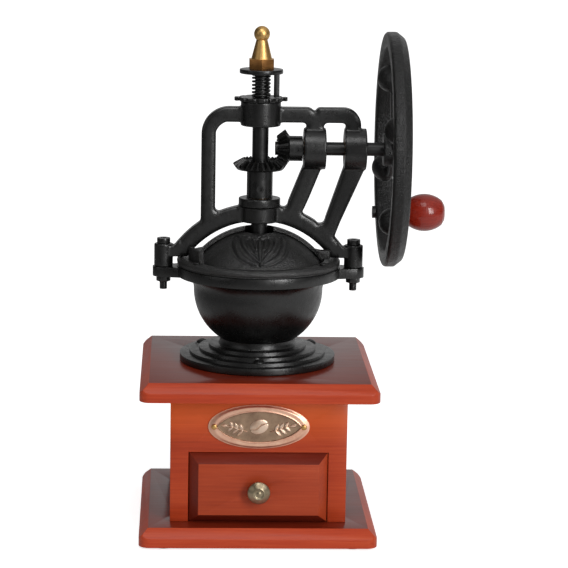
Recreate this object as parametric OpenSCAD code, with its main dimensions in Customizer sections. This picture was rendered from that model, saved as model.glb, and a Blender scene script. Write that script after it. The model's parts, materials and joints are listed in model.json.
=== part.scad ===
// Hand crank coffee grinder: a cast iron hopper with a bevel geared hand wheel,
// screwed to a wooden box that holds a drawer. +X is the wheel side, -Y the drawer side.
// All sizes are in millimetres and the origin is the centre of the underside.

/* [Wooden box] */
// Width and depth of the two boards
board_w = 130; // [122:1:140]
// Thickness of each board
board_t = 10; // [8:0.5:12]
// Corner radius of the boards, seen from above
board_r = 6; // [3:0.5:10]
// Chamfer along the top edges of each board
board_chamfer = 5; // [2:0.5:6]
// Distance from the edge of a board to the side of the box
box_inset = 16.75; // [13:0.25:19]
// Height of the box between the boards
box_h = 70.8; // [68:0.2:80]
// Thickness of the side walls and the back wall
wall_t = 6; // [5:0.5:7]
// Thickness of the front panel
panel_t = 8; // [6:0.5:10]
// Diameter of the rubber foot pads
pad_d = 13; // [8:0.5:16]
// Thickness of the foot pads
pad_t = 1.2; // [0.8:0.1:3]
// Distance from a board edge to the nearest edge of a foot pad
pad_inset = 3; // [2:0.5:12]
// Shank diameter of the wood screws in the box
wood_screw_d = 3.5; // [2.5:0.1:4.5]
// Length of the wood screws in the box
wood_screw_l = 24; // [18:1:40]

/* [Drawer] */
// Width of the front panel on each side of the drawer
drawer_margin = 10.4; // [8.5:0.1:14]
// Height of the drawer front
drawer_h = 38.8; // [30:0.2:40]
// Room between the back of the drawer and the back wall
drawer_end_gap = 3.7; // [2:0.1:20]
// Running gap around the drawer
drawer_gap = 0.4; // [0.3:0.1:0.8]
// Thickness of the drawer front without its raised field
drawer_front_t = 8; // [6:0.5:10]
// Height of the raised field of the drawer front
field_rise = 6; // [2:0.5:7]
// Width of the bevel around the raised field
field_bevel = 5; // [3:0.5:8]
// Thickness of the drawer sides and back
drawer_side_t = 4.5; // [3:0.5:7]
// Thickness of the drawer bottom
drawer_floor_t = 3; // [2:0.5:5]
// Height of the drawer sides
drawer_side_h = 33; // [24:1:36]
// Diameter of the drawer knob
drawer_knob_d = 12.6; // [9:0.2:18]
// Length of the drawer knob from the field to its tip
drawer_knob_l = 9; // [7:0.5:14]
// Height of the runners beside the drawer
runner_h = 12; // [6:1:20]

/* [Nameplate] */
// Length of the oval plate
plate_w = 55.3; // [40:0.1:70]
// Height of the oval plate
plate_h = 24.4; // [16:0.1:27]
// Thickness of the oval plate
plate_t = 1.6; // [1:0.1:2.5]
// Width of the raised rim above and below the plate's field
plate_rim = 4.3; // [2:0.1:5]
// Width of the raised rim at each end, where the nails sit
plate_end = 5.2; // [5.2:0.1:7]
// Head diameter of the plate nails
nail_head_d = 3.2; // [2:0.1:4]

/* [Bowl] */
// Distance from the edge of the rim flange in to the edge of the foot, seen from above
foot_inset = 2; // [0:0.5:4]
// Thickness of the foot at its edge
foot_edge_t = 4; // [3:0.5:5]
// Number of steps on the foot
foot_steps = 3; // [2:1:3]
// Width of a step
step_w = 5.4; // [4.5:0.1:5.6]
// Height of a step
step_h = 1.8; // [1:0.1:2.2]
// Radius of the neck
neck_r = 21; // [20:0.2:23]
// Height of the neck above the wood
neck_h = 13; // [12.5:0.5:16]
// Height of the rim of the bowl above the wood
bowl_h = 54; // [52:0.5:60]
// Reach of the flange past the widest part of the bowl
flange_reach = 9.5; // [8:0.5:11]
// Radius at which the round side is centred
belly_offset = 3; // [2:0.1:4]
// Thickness of the bowl wall
bowl_t = 3.2; // [2.5:0.1:4]
// Radius of the rim flange
flange_r = 45.5; // [44:0.5:47]
// Thickness of the rim flange
flange_t = 5.5; // [4:0.5:7]
// Width of the flat rim, from the mouth of the hopper to the edge of the flange
mouth_rim = 13.5; // [12:0.5:15]
// Number of screws in the foot
foot_screws = 3; // [2:1:4]

/* [Cover] */
// Distance from the edge of the flange to the radius of the dome
dome_inset = 0.5; // [0:0.1:1.5]
// Height of the dome above the rim of the bowl
dome_h = 22.1; // [21:0.1:23]
// Thickness of each dome shell
shell_t = 2; // [1.5:0.1:2.5]
// Running gap between the two dome shells
shell_gap = 0.5; // [0.4:0.1:0.8]
// Thickness of the ring under the dome
ring_t = 4.5; // [4:0.1:6]
// Radius of the hole around the main shaft
eye_r = 8; // [6.5:0.5:10]
// Angle by which the sliding cover reaches under the fixed one at each end
cover_lap = 8; // [4:1:12]

/* [Yoke] */
// Thickness of the yoke, front to back
yoke_t = 8.5; // [7:0.5:9]
// Gap between the dome and the arch over it
arch_gap = 4; // [3.5:0.1:5]
// Width of the arch
arch_w = 9.3; // [8:0.1:10]
// Distance of the leg's outer edge from the main axis
leg_x = 32.6; // [32:0.1:35]
// Width of the leg
leg_w = 8; // [6:0.1:9]
// Height of the top bar
bar_h = 8.3; // [6:0.1:10]
// Height of the top bar's centre above the crank axis
bar_rise = 18.8; // [18:0.1:21]
// Distance from the edge of the bowl's flange to the axis of a clamp bolt
clamp_reach = 7.5; // [7:0.1:9.5]
// Diameter of the clamp bosses
clamp_boss_d = 10.5; // [9:0.1:11]
// Height of the clamp bosses
clamp_boss_h = 12.8; // [11:0.1:15]
// Diameter of the clamp bolts
clamp_bolt_d = 4; // [3:0.1:5]
// Diameter of the two crank bosses
crank_boss_d = 23; // [20:0.5:25]
// Near end of the inner crank boss
boss_a_x = 24; // [24:0.1:26]
// Length of each crank boss
crank_boss_l = 12.2; // [10:0.1:13]
// Near end of the outer crank boss
boss_b_x = 46.5; // [45:0.1:48]
// Diameter of the upper hub
upper_hub_d = 22.2; // [20:0.1:25]
// Height of the upper hub
upper_hub_h = 13.7; // [12:0.1:16]
// Diameter of the lower hub
lower_hub_d = 20.6; // [19:0.1:23]
// Diameter of the collar on the lower hub
lower_collar_d = 23.2; // [21:0.1:25]
// Wall of the bronze bushes
bush_t = 2; // [1:0.1:3]

/* [Drive] */
// Height of the crank axis above the rim of the bowl
crank_rise = 65.6; // [65:0.1:68]
// Diameter of the main shaft
main_shaft_d = 9; // [8:0.1:9.4]
// Diameter of the threaded top of the main shaft
stem_d = 6.8; // [6:0.1:7]
// Diameter of the crank shaft
crank_shaft_d = 7.5; // [6.5:0.1:8.5]
// Running clearance of a shaft in its bush, on the radius
run_gap = 0.05; // [0.03:0.01:0.08]
// Clearance of pressed and screwed pieces, on the radius
fit_gap = 0.02; // [0.01:0.01:0.05]
// Gear module
gear_module = 1.2; // [1.15:0.01:1.25]
// Teeth of the gear on the main shaft
gear_teeth = 24; // [24:1:24]
// Teeth of the pinion on the crank shaft
pinion_teeth = 16; // [16:1:16]
// Face width of the teeth
face_w = 6; // [5:0.1:6.5]
// Backlash at the pitch circle
backlash = 0.2; // [0.15:0.01:0.3]
// Diameter of the gear's sleeve
sleeve_d = 14.4; // [13:0.1:16]
// Diameter of the pinion's hub
pinion_hub_d = 14; // [12.5:0.1:15]
// Length of the pinion's hub
pinion_hub_l = 8.2; // [6:0.1:8.4]
// Diameter of the grub screws
grub_d = 4; // [3:0.1:4]

/* [Burrs] */
// Inside radius of the neck, which holds the outer burr
burr_seat_r = 17; // [16.5:0.1:17.5]
// Height of the burrs
burr_h = 12; // [10:0.5:12]
// Radius of the inner burr at its lower end
burr_r = 13.4; // [12.5:0.1:13.6]
// Narrowing of the inner burr from its lower to its upper end
burr_taper = 3.6; // [2:0.1:4]
// Gap between the burrs at rest, on the radius
burr_gap = 0.9; // [0.8:0.1:1.2]
// Number of grooves in each burr
burr_grooves = 15; // [10:1:18]

/* [Adjuster] */
// Across flats of the adjusting nut
nut_flats = 13.4; // [11:0.1:15]
// Height of the nut's hexagon
nut_h = 5.6; // [4:0.1:8]
// Height of the cone on the nut
nut_cone_h = 10.4; // [8:0.1:12]
// Diameter of the ball on the nut
ball_d = 8.8; // [7:0.1:10]
// Diameter of the lock washer
washer_d = 24; // [22:0.1:26]
// Thickness of the lock washer
washer_t = 2.4; // [1.5:0.1:3]
// Distance from the notched collar to the lock washer
spring_l = 13; // [11:0.1:16]
// Outside diameter of the spring
spring_d = 10.6; // [10.4:0.1:11.5]
// Diameter of the spring's wire
wire_d = 1.3; // [1:0.1:1.4]
// Number of turns of the spring
spring_turns = 6.5; // [4.5:0.5:7.5]
// Diameter of the notched collar
collar_d = 25; // [23:0.1:28]
// Thickness of the notched collar
collar_t = 2.1; // [1:0.1:2.5]
// Number of notches in the collar
notches = 12; // [8:1:16]

/* [Hand wheel] */
// Radius of the wheel
wheel_r = 65; // [60:0.5:66]
// Inner face of the rim, from the main axis
wheel_x = 68.4; // [68:0.1:71]
// Width of the rim
rim_w = 10.2; // [8:0.1:11]
// Width of the rim's flat band, without the bevel on its outer side
rim_flat = 6; // [4:0.1:7]
// Depth of the rim towards the hub
rim_d = 8.5; // [7.5:0.1:10]
// Distance from the rim's inner face to the spokes
spoke_set = 4.6; // [3:0.1:5]
// Thickness of the spokes
spoke_t = 3.4; // [3:0.1:4.5]
// Number of spokes
spokes = 4; // [3:1:4]
// Width of a spoke
spoke_w = 6; // [5:0.1:7]
// Sideways swing of the S-shaped spokes, in degrees
spoke_swing = 16; // [8:1:20]
// Radius of the bead on each spoke
bead_r = 7.8; // [6:0.1:8.5]
// Distance of the beads from the crank axis
bead_circle_r = 41; // [38:0.5:43]
// Diameter of the wheel's hub
wheel_hub_d = 18; // [16:0.5:22]
// Angle from the top of the wheel to the handle, towards the back
handle_angle = 134; // [120:1:150]
// Largest diameter of the wooden handle knob
knob_d = 21.6; // [18:0.1:24]
// Length of the handle knob
knob_l = 28; // [24:0.5:32]
// Diameter of the handle pin
pin_d = 5; // [4:0.1:5.5]

/* [Hidden] */
$fn = 96;

wood = "sienna";
iron = [0.2, 0.2, 0.2];
steel = [0.55, 0.55, 0.57];
brass = [0.8, 0.66, 0.35];

// a little more than nothing, so that a cut passes a face
past = 0.5;
// gap left between faces that slide on each other
slide_gap = 0.3;

// heights of the box, from the floor up
box_z = pad_t + board_t;
top_board_z = box_z + box_h;
wood_top = top_board_z + board_t;
box_w = board_w - 2 * box_inset;
inner_half = box_w / 2 - wall_t;
pad_shift = 4;
front_y = -box_w / 2;
panel_back_y = front_y + panel_t;

// drawer places
drawer_z = box_z + slide_gap;
drawer_recess = 0.8;
drawer_face_y = front_y + drawer_recess;
drawer_back_y = drawer_face_y + drawer_front_t;
drawer_w = box_w - 2 * drawer_margin;
drawer_d = inner_half - drawer_end_gap - drawer_back_y;
field_y = drawer_face_y - field_rise;
drawer_mid_z = drawer_z + drawer_h / 2;
opening_h = drawer_h + 2 * slide_gap;
knob_screw_r = 1.6;

// nameplate, on the front panel over the drawer
plate_z = (box_z + opening_h + top_board_z) / 2 - 1;
plate_recess = 0.6;
nail_r = 0.7;
nail_l = 6;
nail_inset = 3.2;
nail_head_t = 0.8;

// bowl heights
mouth_r = flange_r - mouth_rim;
foot_r = flange_r - foot_inset;
foot_screw_circle = foot_r - 1.5 * step_w;
belly_r = flange_r - flange_reach - belly_offset;
flange_fillet = flange_reach - 1.9;
neck_z = wood_top + neck_h;
rim_z = wood_top + bowl_h;
flange_z = rim_z - flange_t;
belly_z = neck_z + sqrt(pow(belly_r, 2) - pow(neck_r - belly_offset, 2));
foot_top_z = wood_top + foot_edge_t + foot_steps * step_h;
belly_turn = 3.4;
hopper_turn = 56;
screw_head_r = 3.3;
screw_head_h = 1.9;
head_dome_r = 4.5;
slot_w = 0.9;
foot_screw_l = 12;
foot_screw_z = wood_top + foot_edge_t + step_h;

// cover
dome_r = flange_r - dome_inset;
dome_drop = dome_r - dome_h;
dome_z = rim_z - dome_drop;
ring_top_z = rim_z + ring_t;
slide_r = dome_r - shell_t - shell_gap;
slide_foot_z = rim_z + slide_gap;
lip_t = 1.2;
lip_r = mouth_r + 6.4;
ring_bore_r = sqrt(pow(slide_r, 2) - pow(dome_drop, 2)) + 0.6;
cover_screw_angles = [-35, 90, 215];
tab_angle = -12;
tab_w = 4;
tab_in_r = sqrt(pow(slide_r, 2) - pow(ring_top_z + slide_gap - dome_z, 2)) - shell_t * 0.7;
stop_angle = 189.5;
stop_turn = 23.5;
stop_t = 2.9;
stop_h = 6.5;
stop_sink = 1;
cover_screw_r = flange_r - 3.2;
cover_shank_r = 1.2;
cover_screw_l = 4;
cover_head_r = 2;
cover_head_h = 0.8;

// yoke
crank_z = rim_z + crank_rise;
clamp_x = flange_r + clamp_reach;
clamp_foot_z = rim_z - 1;
clamp_top_z = clamp_foot_z + clamp_boss_h;
arch_r = dome_r + arch_gap;
arch_z = dome_z - 0.9;
arch_out_r = arch_r + arch_w;
arch_top_z = arch_z + arch_r;
foot_bar_h = 5.8;
foot_reach = 12;
foot_end = 3;
foot_bar_z = ring_top_z + slide_gap;
bar_z = crank_z + bar_rise;
upper_hub_z = crank_z + 12.5;
upper_hub_top = upper_hub_z + upper_hub_h;
lower_hub_top = rim_z + 38;
lower_collar_h = 4.6;
lower_hub_h = 13.5;
lower_hub_z = lower_hub_top - lower_hub_h;
boss_a_mid = boss_a_x + crank_boss_l / 2;
boss_b_mid = boss_b_x + crank_boss_l / 2;
main_bush_r = main_shaft_d / 2 + run_gap + bush_t;
crank_bush_r = crank_shaft_d / 2 + run_gap + bush_t;
ear_t = 5.4;
bolt_tail = 7.6;
clamp_nut_h = 3.2;
clamp_nut_flats = 7;

// bevel gears, with their common apex where the two axes cross
gear_r = gear_module * gear_teeth / 2;
pinion_r = gear_module * pinion_teeth / 2;
gear_cone = atan(gear_teeth / pinion_teeth);
pinion_cone = 90 - gear_cone;
cone_l = gear_r / sin(gear_cone);
inner_scale = (cone_l - face_w) / cone_l;
addendum = gear_module;
dedendum = 1.25 * gear_module;
pressure = 20;
tooth_root = 0.4;
tooth_over = 0.5;
gear_back_drop = 0.6;
gear_back_z = -gear_r / tan(gear_cone) - (dedendum + tooth_root) * sin(gear_cone) - gear_back_drop;
pinion_back_x = pinion_r / tan(pinion_cone) + (dedendum + tooth_root) * sin(pinion_cone) + gear_back_drop;
gear_grub_z = lower_hub_top - crank_z + slide_gap + 5;

// burrs
burr_z = wood_top + 4.5;
burr_drop = 0.6;

// adjuster
collar_z = upper_hub_top + slide_gap / 3;
spring_z = collar_z + collar_t;
washer_z = spring_z + spring_l;
nut_z = washer_z + washer_t;
nut_cone_z = nut_z + nut_h;
ball_z = nut_cone_z + nut_cone_h + ball_d / 2 - 1.2;
stem_top_z = nut_cone_z + 2.4;
shaft_bottom_z = burr_z - 3.6;
tail_r = 3;
shoulder_z = upper_hub_top - 2.2;
washer_lift = slide_gap / 3;

// hand wheel
rim_in_r = wheel_r - rim_d;
rim_mid_r = wheel_r - rim_d / 2;
spoke_x = wheel_x + spoke_set;
wheel_hub_l = 8.4;
hub_out_x = wheel_x - 0.3 + wheel_hub_l;
stud_d = 6;
wheel_washer_t = 1.2;
wheel_nut_h = 5;
wheel_nut_flats = 10;
crank_end_x = 8.2;
handle_y = rim_mid_r * sin(handle_angle);
handle_z = crank_z + rim_mid_r * cos(handle_angle);
handle_washer_t = 1.2;
handle_washer_d = 11;
pin_tail_d = 7;
pin_tail_h = 1.8;
pin_cap_d = 8;
pin_cap_h = 1.6;
pin_cap_sink = 1;
knob_x = wheel_x + rim_w + handle_washer_t + slide_gap;

// points of an arc round c, from angle a to angle b
function arc(c, r, a, b, n) = [for (i = [0:n]) c + r * [cos(a + (b - a) * i / n), sin(a + (b - a) * i / n)]];

// points of an ellipse
function oval(w, h, n = 64) = [for (i = [0:n - 1]) [w / 2 * cos(360 * i / n), h / 2 * sin(360 * i / n)]];

// a bar along X from x1 to x2
module x_rod(r, x1, x2) {
    translate([x1, 0, 0]) rotate([0, 90, 0]) cylinder(r = r, h = x2 - x1);
}

// a hexagon prism standing on the XY plane
module hex(flats, h) {
    cylinder(r = flats / sqrt(3), h = h, $fn = 6);
}

// the outline of a board, with rounded corners
module rounded_square(w, r) {
    hull() for (x = [-1, 1], y = [-1, 1]) translate([x * (w / 2 - r), y * (w / 2 - r)]) circle(r, $fn = 48);
}

// a board with its top edges chamfered
module board(z) {
    translate([0, 0, z]) difference() {
        linear_extrude(board_t) rounded_square(board_w, board_r);
        for (a = [0:90:270]) rotate(a)
            translate([board_w / 2, 0, board_t]) rotate([0, 45, 0])
                cube([board_chamfer * sqrt(2), board_w + 2 * past, board_chamfer * sqrt(2)], center = true);
    }
}

// places of the screws that hold the boards to the side walls
module at_wall_screws() {
    for (x = [-1, 1], y = [-1, 1]) translate([x * (box_w - wall_t) / 2, y * box_w / 3, 0]) children();
}

// a countersunk wood screw, head down at z = 0
module wood_screw(gap = 0) {
    head_h = wood_screw_d / 2;
    cylinder(r1 = wood_screw_d + gap, r2 = wood_screw_d / 2 + gap, h = head_h);
    cylinder(d = wood_screw_d + 2 * gap, h = wood_screw_l);
}

module foot_pads() {
    reach = board_w / 2 - pad_inset - pad_d / 2;
    color("dimgray") {
        for (x = [-1, 1], y = [-1, 1]) translate([x * (reach - pad_shift), y * reach, 0]) cylinder(d = pad_d, h = pad_t);
        cylinder(d = pad_d, h = pad_t);
    }
}

module bottom_board() {
    color(wood) difference() {
        board(pad_t);
        at_wall_screws() translate([0, 0, pad_t]) wood_screw(fit_gap);
    }
}

module board_screws() {
    color(steel) at_wall_screws() translate([0, 0, pad_t]) difference() {
        wood_screw();
        translate([-wood_screw_d, -0.4, -past]) cube([2 * wood_screw_d, 0.8, 1 + past]);
    }
}

// one side wall; side is -1 for the left and 1 for the right
module side_wall(side) {
    color(wood) difference() {
        translate([side * (box_w - wall_t) / 2 - wall_t / 2, panel_back_y, box_z])
            cube([wall_t, box_w - panel_t, box_h]);
        at_wall_screws() translate([0, 0, pad_t]) wood_screw(fit_gap);
    }
}

module left_wall() {
    side_wall(-1);
}

module right_wall() {
    side_wall(1);
}

module back_wall() {
    color(wood) translate([-inner_half, box_w / 2 - wall_t, box_z]) cube([2 * inner_half, wall_t, box_h]);
}

module front_panel() {
    color(wood) translate([-box_w / 2, front_y, box_z]) difference() {
        cube([box_w, panel_t, box_h]);
        translate([box_w / 2 - drawer_w / 2 - drawer_gap, -past, -past])
            cube([drawer_w + 2 * drawer_gap, panel_t + 2 * past, opening_h + past]);
        translate([box_w / 2, 0, plate_z - box_z]) at_nails() rotate([-90, 0, 0])
            cylinder(r = nail_r + fit_gap, h = nail_l, $fn = 24);
    }
}

module drawer_runners() {
    runner_t = inner_half - drawer_w / 2 - drawer_gap;
    color(wood) for (side = [-1, 1])
        translate([side * (inner_half - runner_t / 2) - runner_t / 2, panel_back_y, box_z])
            cube([runner_t, box_w / 2 - wall_t - panel_back_y, runner_h]);
}

module top_board() {
    color(wood) difference() {
        board(top_board_z);
        translate([0, 0, top_board_z - past]) cylinder(r = burr_seat_r + 1, h = board_t + 2 * past);
        at_foot_screws() translate([0, 0, foot_screw_z]) foot_shank(fit_gap);
    }
}

module at_nails() {
    for (side = [-1, 1]) translate([side * (plate_w / 2 - nail_inset), 0, 0]) children();
}

module nameplate() {
    color(brass) translate([0, front_y, plate_z]) rotate([90, 0, 0]) difference() {
        linear_extrude(plate_t) polygon(oval(plate_w, plate_h));
        translate([0, 0, plate_t - plate_recess]) linear_extrude(plate_t)
            polygon(oval(plate_w - 2 * plate_end, plate_h - 2 * plate_rim));
        at_nails() translate([0, 0, -past]) cylinder(r = nail_r + fit_gap, h = plate_t + 2 * past, $fn = 24);
    }
}

module nameplate_nails() {
    color(brass) translate([0, front_y - plate_t, plate_z]) at_nails() rotate([90, 0, 0]) {
        cylinder(d = nail_head_d, h = nail_head_t, $fn = 24);
        translate([0, 0, -nail_l]) cylinder(r = nail_r, h = nail_l + nail_head_t / 2, $fn = 24);
    }
}

module drawer_front() {
    color(wood) difference() {
        union() {
            translate([-drawer_w / 2, drawer_face_y, drawer_z]) cube([drawer_w, drawer_front_t, drawer_h]);
            intersection() {
                translate([0, 0, drawer_z]) linear_extrude(drawer_h) field_section(drawer_w);
                translate([-drawer_w / 2, 0, drawer_mid_z]) rotate([90, 0, 90])
                    linear_extrude(drawer_w) rotate(90) mirror([0, 1]) field_section(drawer_h);
            }
        }
        translate([0, field_y, drawer_mid_z]) rotate([-90, 0, 0]) translate([0, 0, -past])
            cylinder(r = knob_screw_r + fit_gap, h = field_rise + drawer_front_t + 2 * past);
    }
}

// section of the raised field: full width at the front's face, narrower by the bevel at the field
module field_section(w) {
    polygon([
        [-w / 2, drawer_face_y + past], [-w / 2, drawer_face_y], [-w / 2 + field_bevel, field_y],
        [w / 2 - field_bevel, field_y], [w / 2, drawer_face_y], [w / 2, drawer_face_y + past]
    ]);
}

// one drawer side; side is -1 for the left and 1 for the right
module drawer_side(side) {
    color(wood) translate([side * (drawer_w - drawer_side_t) / 2 - drawer_side_t / 2, drawer_back_y, drawer_z])
        cube([drawer_side_t, drawer_d, drawer_side_h]);
}

module drawer_left_side() {
    drawer_side(-1);
}

module drawer_right_side() {
    drawer_side(1);
}

module drawer_back() {
    color(wood) translate([-drawer_w / 2 + drawer_side_t, drawer_back_y + drawer_d - drawer_side_t, drawer_z])
        cube([drawer_w - 2 * drawer_side_t, drawer_side_t, drawer_side_h]);
}

module drawer_bottom() {
    color(wood) translate([-drawer_w / 2 + drawer_side_t, drawer_back_y, drawer_z])
        cube([drawer_w - 2 * drawer_side_t, drawer_d - drawer_side_t, drawer_floor_t]);
}

module drawer_knob() {
    r = drawer_knob_d / 2;
    color([0.6, 0.56, 0.46]) translate([0, field_y, drawer_mid_z]) rotate([90, 0, 0]) difference() {
        rotate_extrude() polygon([
            [0, 0], [r * 0.75, 0], [r * 0.75, 0.8], [r * 0.48, 1.6], [r * 0.48, drawer_knob_l * 0.4],
            [r * 0.94, drawer_knob_l * 0.6], [r, drawer_knob_l * 0.68], [r * 0.96, drawer_knob_l * 0.76],
            [r * 0.5, drawer_knob_l], [r * 0.42, drawer_knob_l * 0.92], [0, drawer_knob_l * 0.9]
        ]);
        translate([0, 0, -past]) cylinder(r = knob_screw_r + fit_gap, h = drawer_knob_l * 0.5 + past);
    }
}

module drawer_knob_screw() {
    color(steel) translate([0, drawer_back_y, drawer_mid_z]) rotate([90, 0, 0]) {
        cylinder(r = knob_screw_r, h = drawer_front_t + field_rise + drawer_knob_l * 0.45);
        translate([0, 0, -1.8]) cylinder(r = knob_screw_r * 2, h = 1.8);
    }
}

// outside of the bowl from its foot to its rim, as [radius, height]
function bowl_outside() = concat(
    [[foot_r - 0.6, wood_top], [foot_r, wood_top + 0.6]],
    [for (i = [0:foot_steps], edge = [0, 1])
        [foot_r - (i + edge) * step_w, wood_top + foot_edge_t + i * step_h]],
    [[neck_r + 0.4, foot_top_z + 0.8]],
    arc([belly_offset, belly_z], belly_r, -acos((neck_r - belly_offset) / belly_r), -belly_turn, 12),
    arc([belly_offset + belly_r + flange_fillet, flange_z - flange_fillet + 0.2], flange_fillet, 176, 96, 6),
    [[flange_r, flange_z], [flange_r, rim_z]]
);

// inside of the bowl from its rim down to the seat of the outer burr
function bowl_inside() = concat(
    [[mouth_r, rim_z], [mouth_r, flange_z]],
    arc([belly_offset, belly_z], belly_r - bowl_t, 0, -hopper_turn, 10),
    [[burr_seat_r, burr_z + burr_h + slide_gap], [burr_seat_r, wood_top]]
);

module at_foot_screws() {
    for (i = [0:foot_screws - 1]) rotate(-90 + i * 360 / foot_screws) translate([foot_screw_circle, 0, 0])
        children();
}

// the shank of a screw in the foot of the bowl, below z = 0
module foot_shank(gap = 0) {
    translate([0, 0, -foot_screw_l]) cylinder(d = wood_screw_d + 2 * gap, h = foot_screw_l + past);
}

// places of the two clamp bolts
module at_clamps() {
    for (side = [-1, 1]) translate([side * clamp_x, 0, 0]) children();
}

module bowl() {
    color(iron) difference() {
        union() {
            rotate_extrude() polygon(concat(bowl_outside(), bowl_inside()));
            translate([0, 0, clamp_foot_z - ear_t]) linear_extrude(ear_t) difference() {
                hull() for (side = [-1, 1]) {
                    translate([side * clamp_x, 0]) circle(6, $fn = 48);
                    translate([side * (flange_r - 8), 0]) circle(9, $fn = 48);
                }
                circle(flange_r - 6);
            }
        }
        at_clamps() translate([0, 0, clamp_foot_z - ear_t - past])
            cylinder(d = clamp_bolt_d + 2 * fit_gap, h = ear_t + 2 * past);
        at_foot_screws() translate([0, 0, foot_screw_z]) {
            foot_shank(fit_gap);
            cylinder(r = screw_head_r + slide_gap, h = screw_head_h + step_h);
        }
        at_cover_screws() translate([0, 0, rim_z - cover_screw_l]) cover_hole(cover_screw_l);
    }
}

module bowl_screws() {
    color(steel) at_foot_screws() translate([0, 0, foot_screw_z]) difference() {
        union() {
            foot_shank();
            intersection() {
                cylinder(r = screw_head_r, h = screw_head_h);
                translate([0, 0, screw_head_h - head_dome_r]) sphere(r = head_dome_r);
            }
        }
        translate([-screw_head_r, -slot_w / 2, screw_head_h / 2]) cube([2 * screw_head_r, slot_w, screw_head_h]);
    }
}

// the grooves of a burr, as upright prisms whose inner edges lie on radius r
module burr_cuts(r, lean) {
    for (i = [0:burr_grooves - 1]) rotate(i * 360 / burr_grooves) translate([r, 0, burr_h / 2])
        rotate([lean, 0, 0]) rotate(45) cube([1.3, 1.3, burr_h * 1.6], center = true);
}

module outer_burr() {
    top_r = burr_r - burr_taper + burr_gap;
    color(steel) translate([0, 0, burr_z]) difference() {
        cylinder(r = burr_seat_r - fit_gap, h = burr_h);
        translate([0, 0, -past]) cylinder(r = burr_r + burr_gap, h = past + 0.01);
        cylinder(r1 = burr_r + burr_gap, r2 = top_r, h = burr_h);
        translate([0, 0, burr_h - 0.01]) cylinder(r = top_r, h = past);
        translate([0, 0, burr_h - 3]) cylinder(r1 = top_r, r2 = burr_seat_r - 1, h = 3.01);
        burr_cuts(top_r + 1.9, 0);
    }
}

// hole for a screw of the cover, h high and a little more
module cover_hole(h) {
    cylinder(r = cover_shank_r + fit_gap, h = h + past, $fn = 32);
}

module at_cover_screws() {
    for (a = cover_screw_angles) rotate(a) translate([cover_screw_r, 0, 0]) children();
}

// a shell of the dome between two angles, cut flat at height z
module dome_shell(r, z, a, b) {
    inner = r - shell_t;
    foot = z - dome_z;
    low_out = asin(foot / r);
    low_in = asin(foot / inner);
    rotate(a) rotate_extrude(angle = b - a) translate([0, dome_z]) polygon(concat(
        arc([0, 0], r, low_out, acos(eye_r / r), 14),
        arc([0, 0], inner, acos(eye_r / inner), low_in, 14)
    ));
}

module fixed_cover() {
    ring_recess = lip_t + 2 * slide_gap;
    color(iron) difference() {
        union() {
            rotate_extrude() polygon([
                [ring_bore_r, rim_z + ring_recess], [lip_r + 0.4, rim_z + ring_recess], [lip_r + 0.4, rim_z],
                [flange_r, rim_z], [flange_r, ring_top_z - 1.2], [flange_r - 1.2, ring_top_z],
                [ring_bore_r, ring_top_z]
            ]);
            dome_shell(dome_r, rim_z + ring_recess, 0, 180);
            rotate(stop_angle) rotate_extrude(angle = stop_turn)
                translate([ring_bore_r + 0.4, ring_top_z - stop_sink]) square([stop_t, stop_h + stop_sink]);
        }
        at_cover_screws() translate([0, 0, rim_z - past]) cover_hole(2 * ring_t);
    }
}

module cover_screws() {
    color(steel) at_cover_screws() {
        translate([0, 0, rim_z - cover_screw_l + past]) cylinder(r = cover_shank_r, h = cover_screw_l + ring_t, $fn = 32);
        translate([0, 0, ring_top_z]) cylinder(r = cover_head_r, h = cover_head_h, $fn = 32);
    }
}

module sliding_cover() {
    end_a = -180 - cover_lap;
    end_b = cover_lap;
    color(iron) {
        dome_shell(slide_r, slide_foot_z, end_a, end_b);
        rotate(end_a) rotate_extrude(angle = end_b - end_a) translate([mouth_r + 0.9, slide_foot_z])
            square([lip_r - mouth_r - 0.9, lip_t]);
        rotate(tab_angle) translate([tab_in_r, -tab_w / 2, ring_top_z + slide_gap])
            cube([ring_bore_r + 3.2 - tab_in_r, tab_w, 5.2]);
    }
}

// a strut of the yoke from one round end to the other
module strut(from, from_r, to, to_r) {
    hull() {
        translate(from) circle(from_r, $fn = 48);
        translate(to) circle(to_r, $fn = 48);
    }
}

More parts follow.
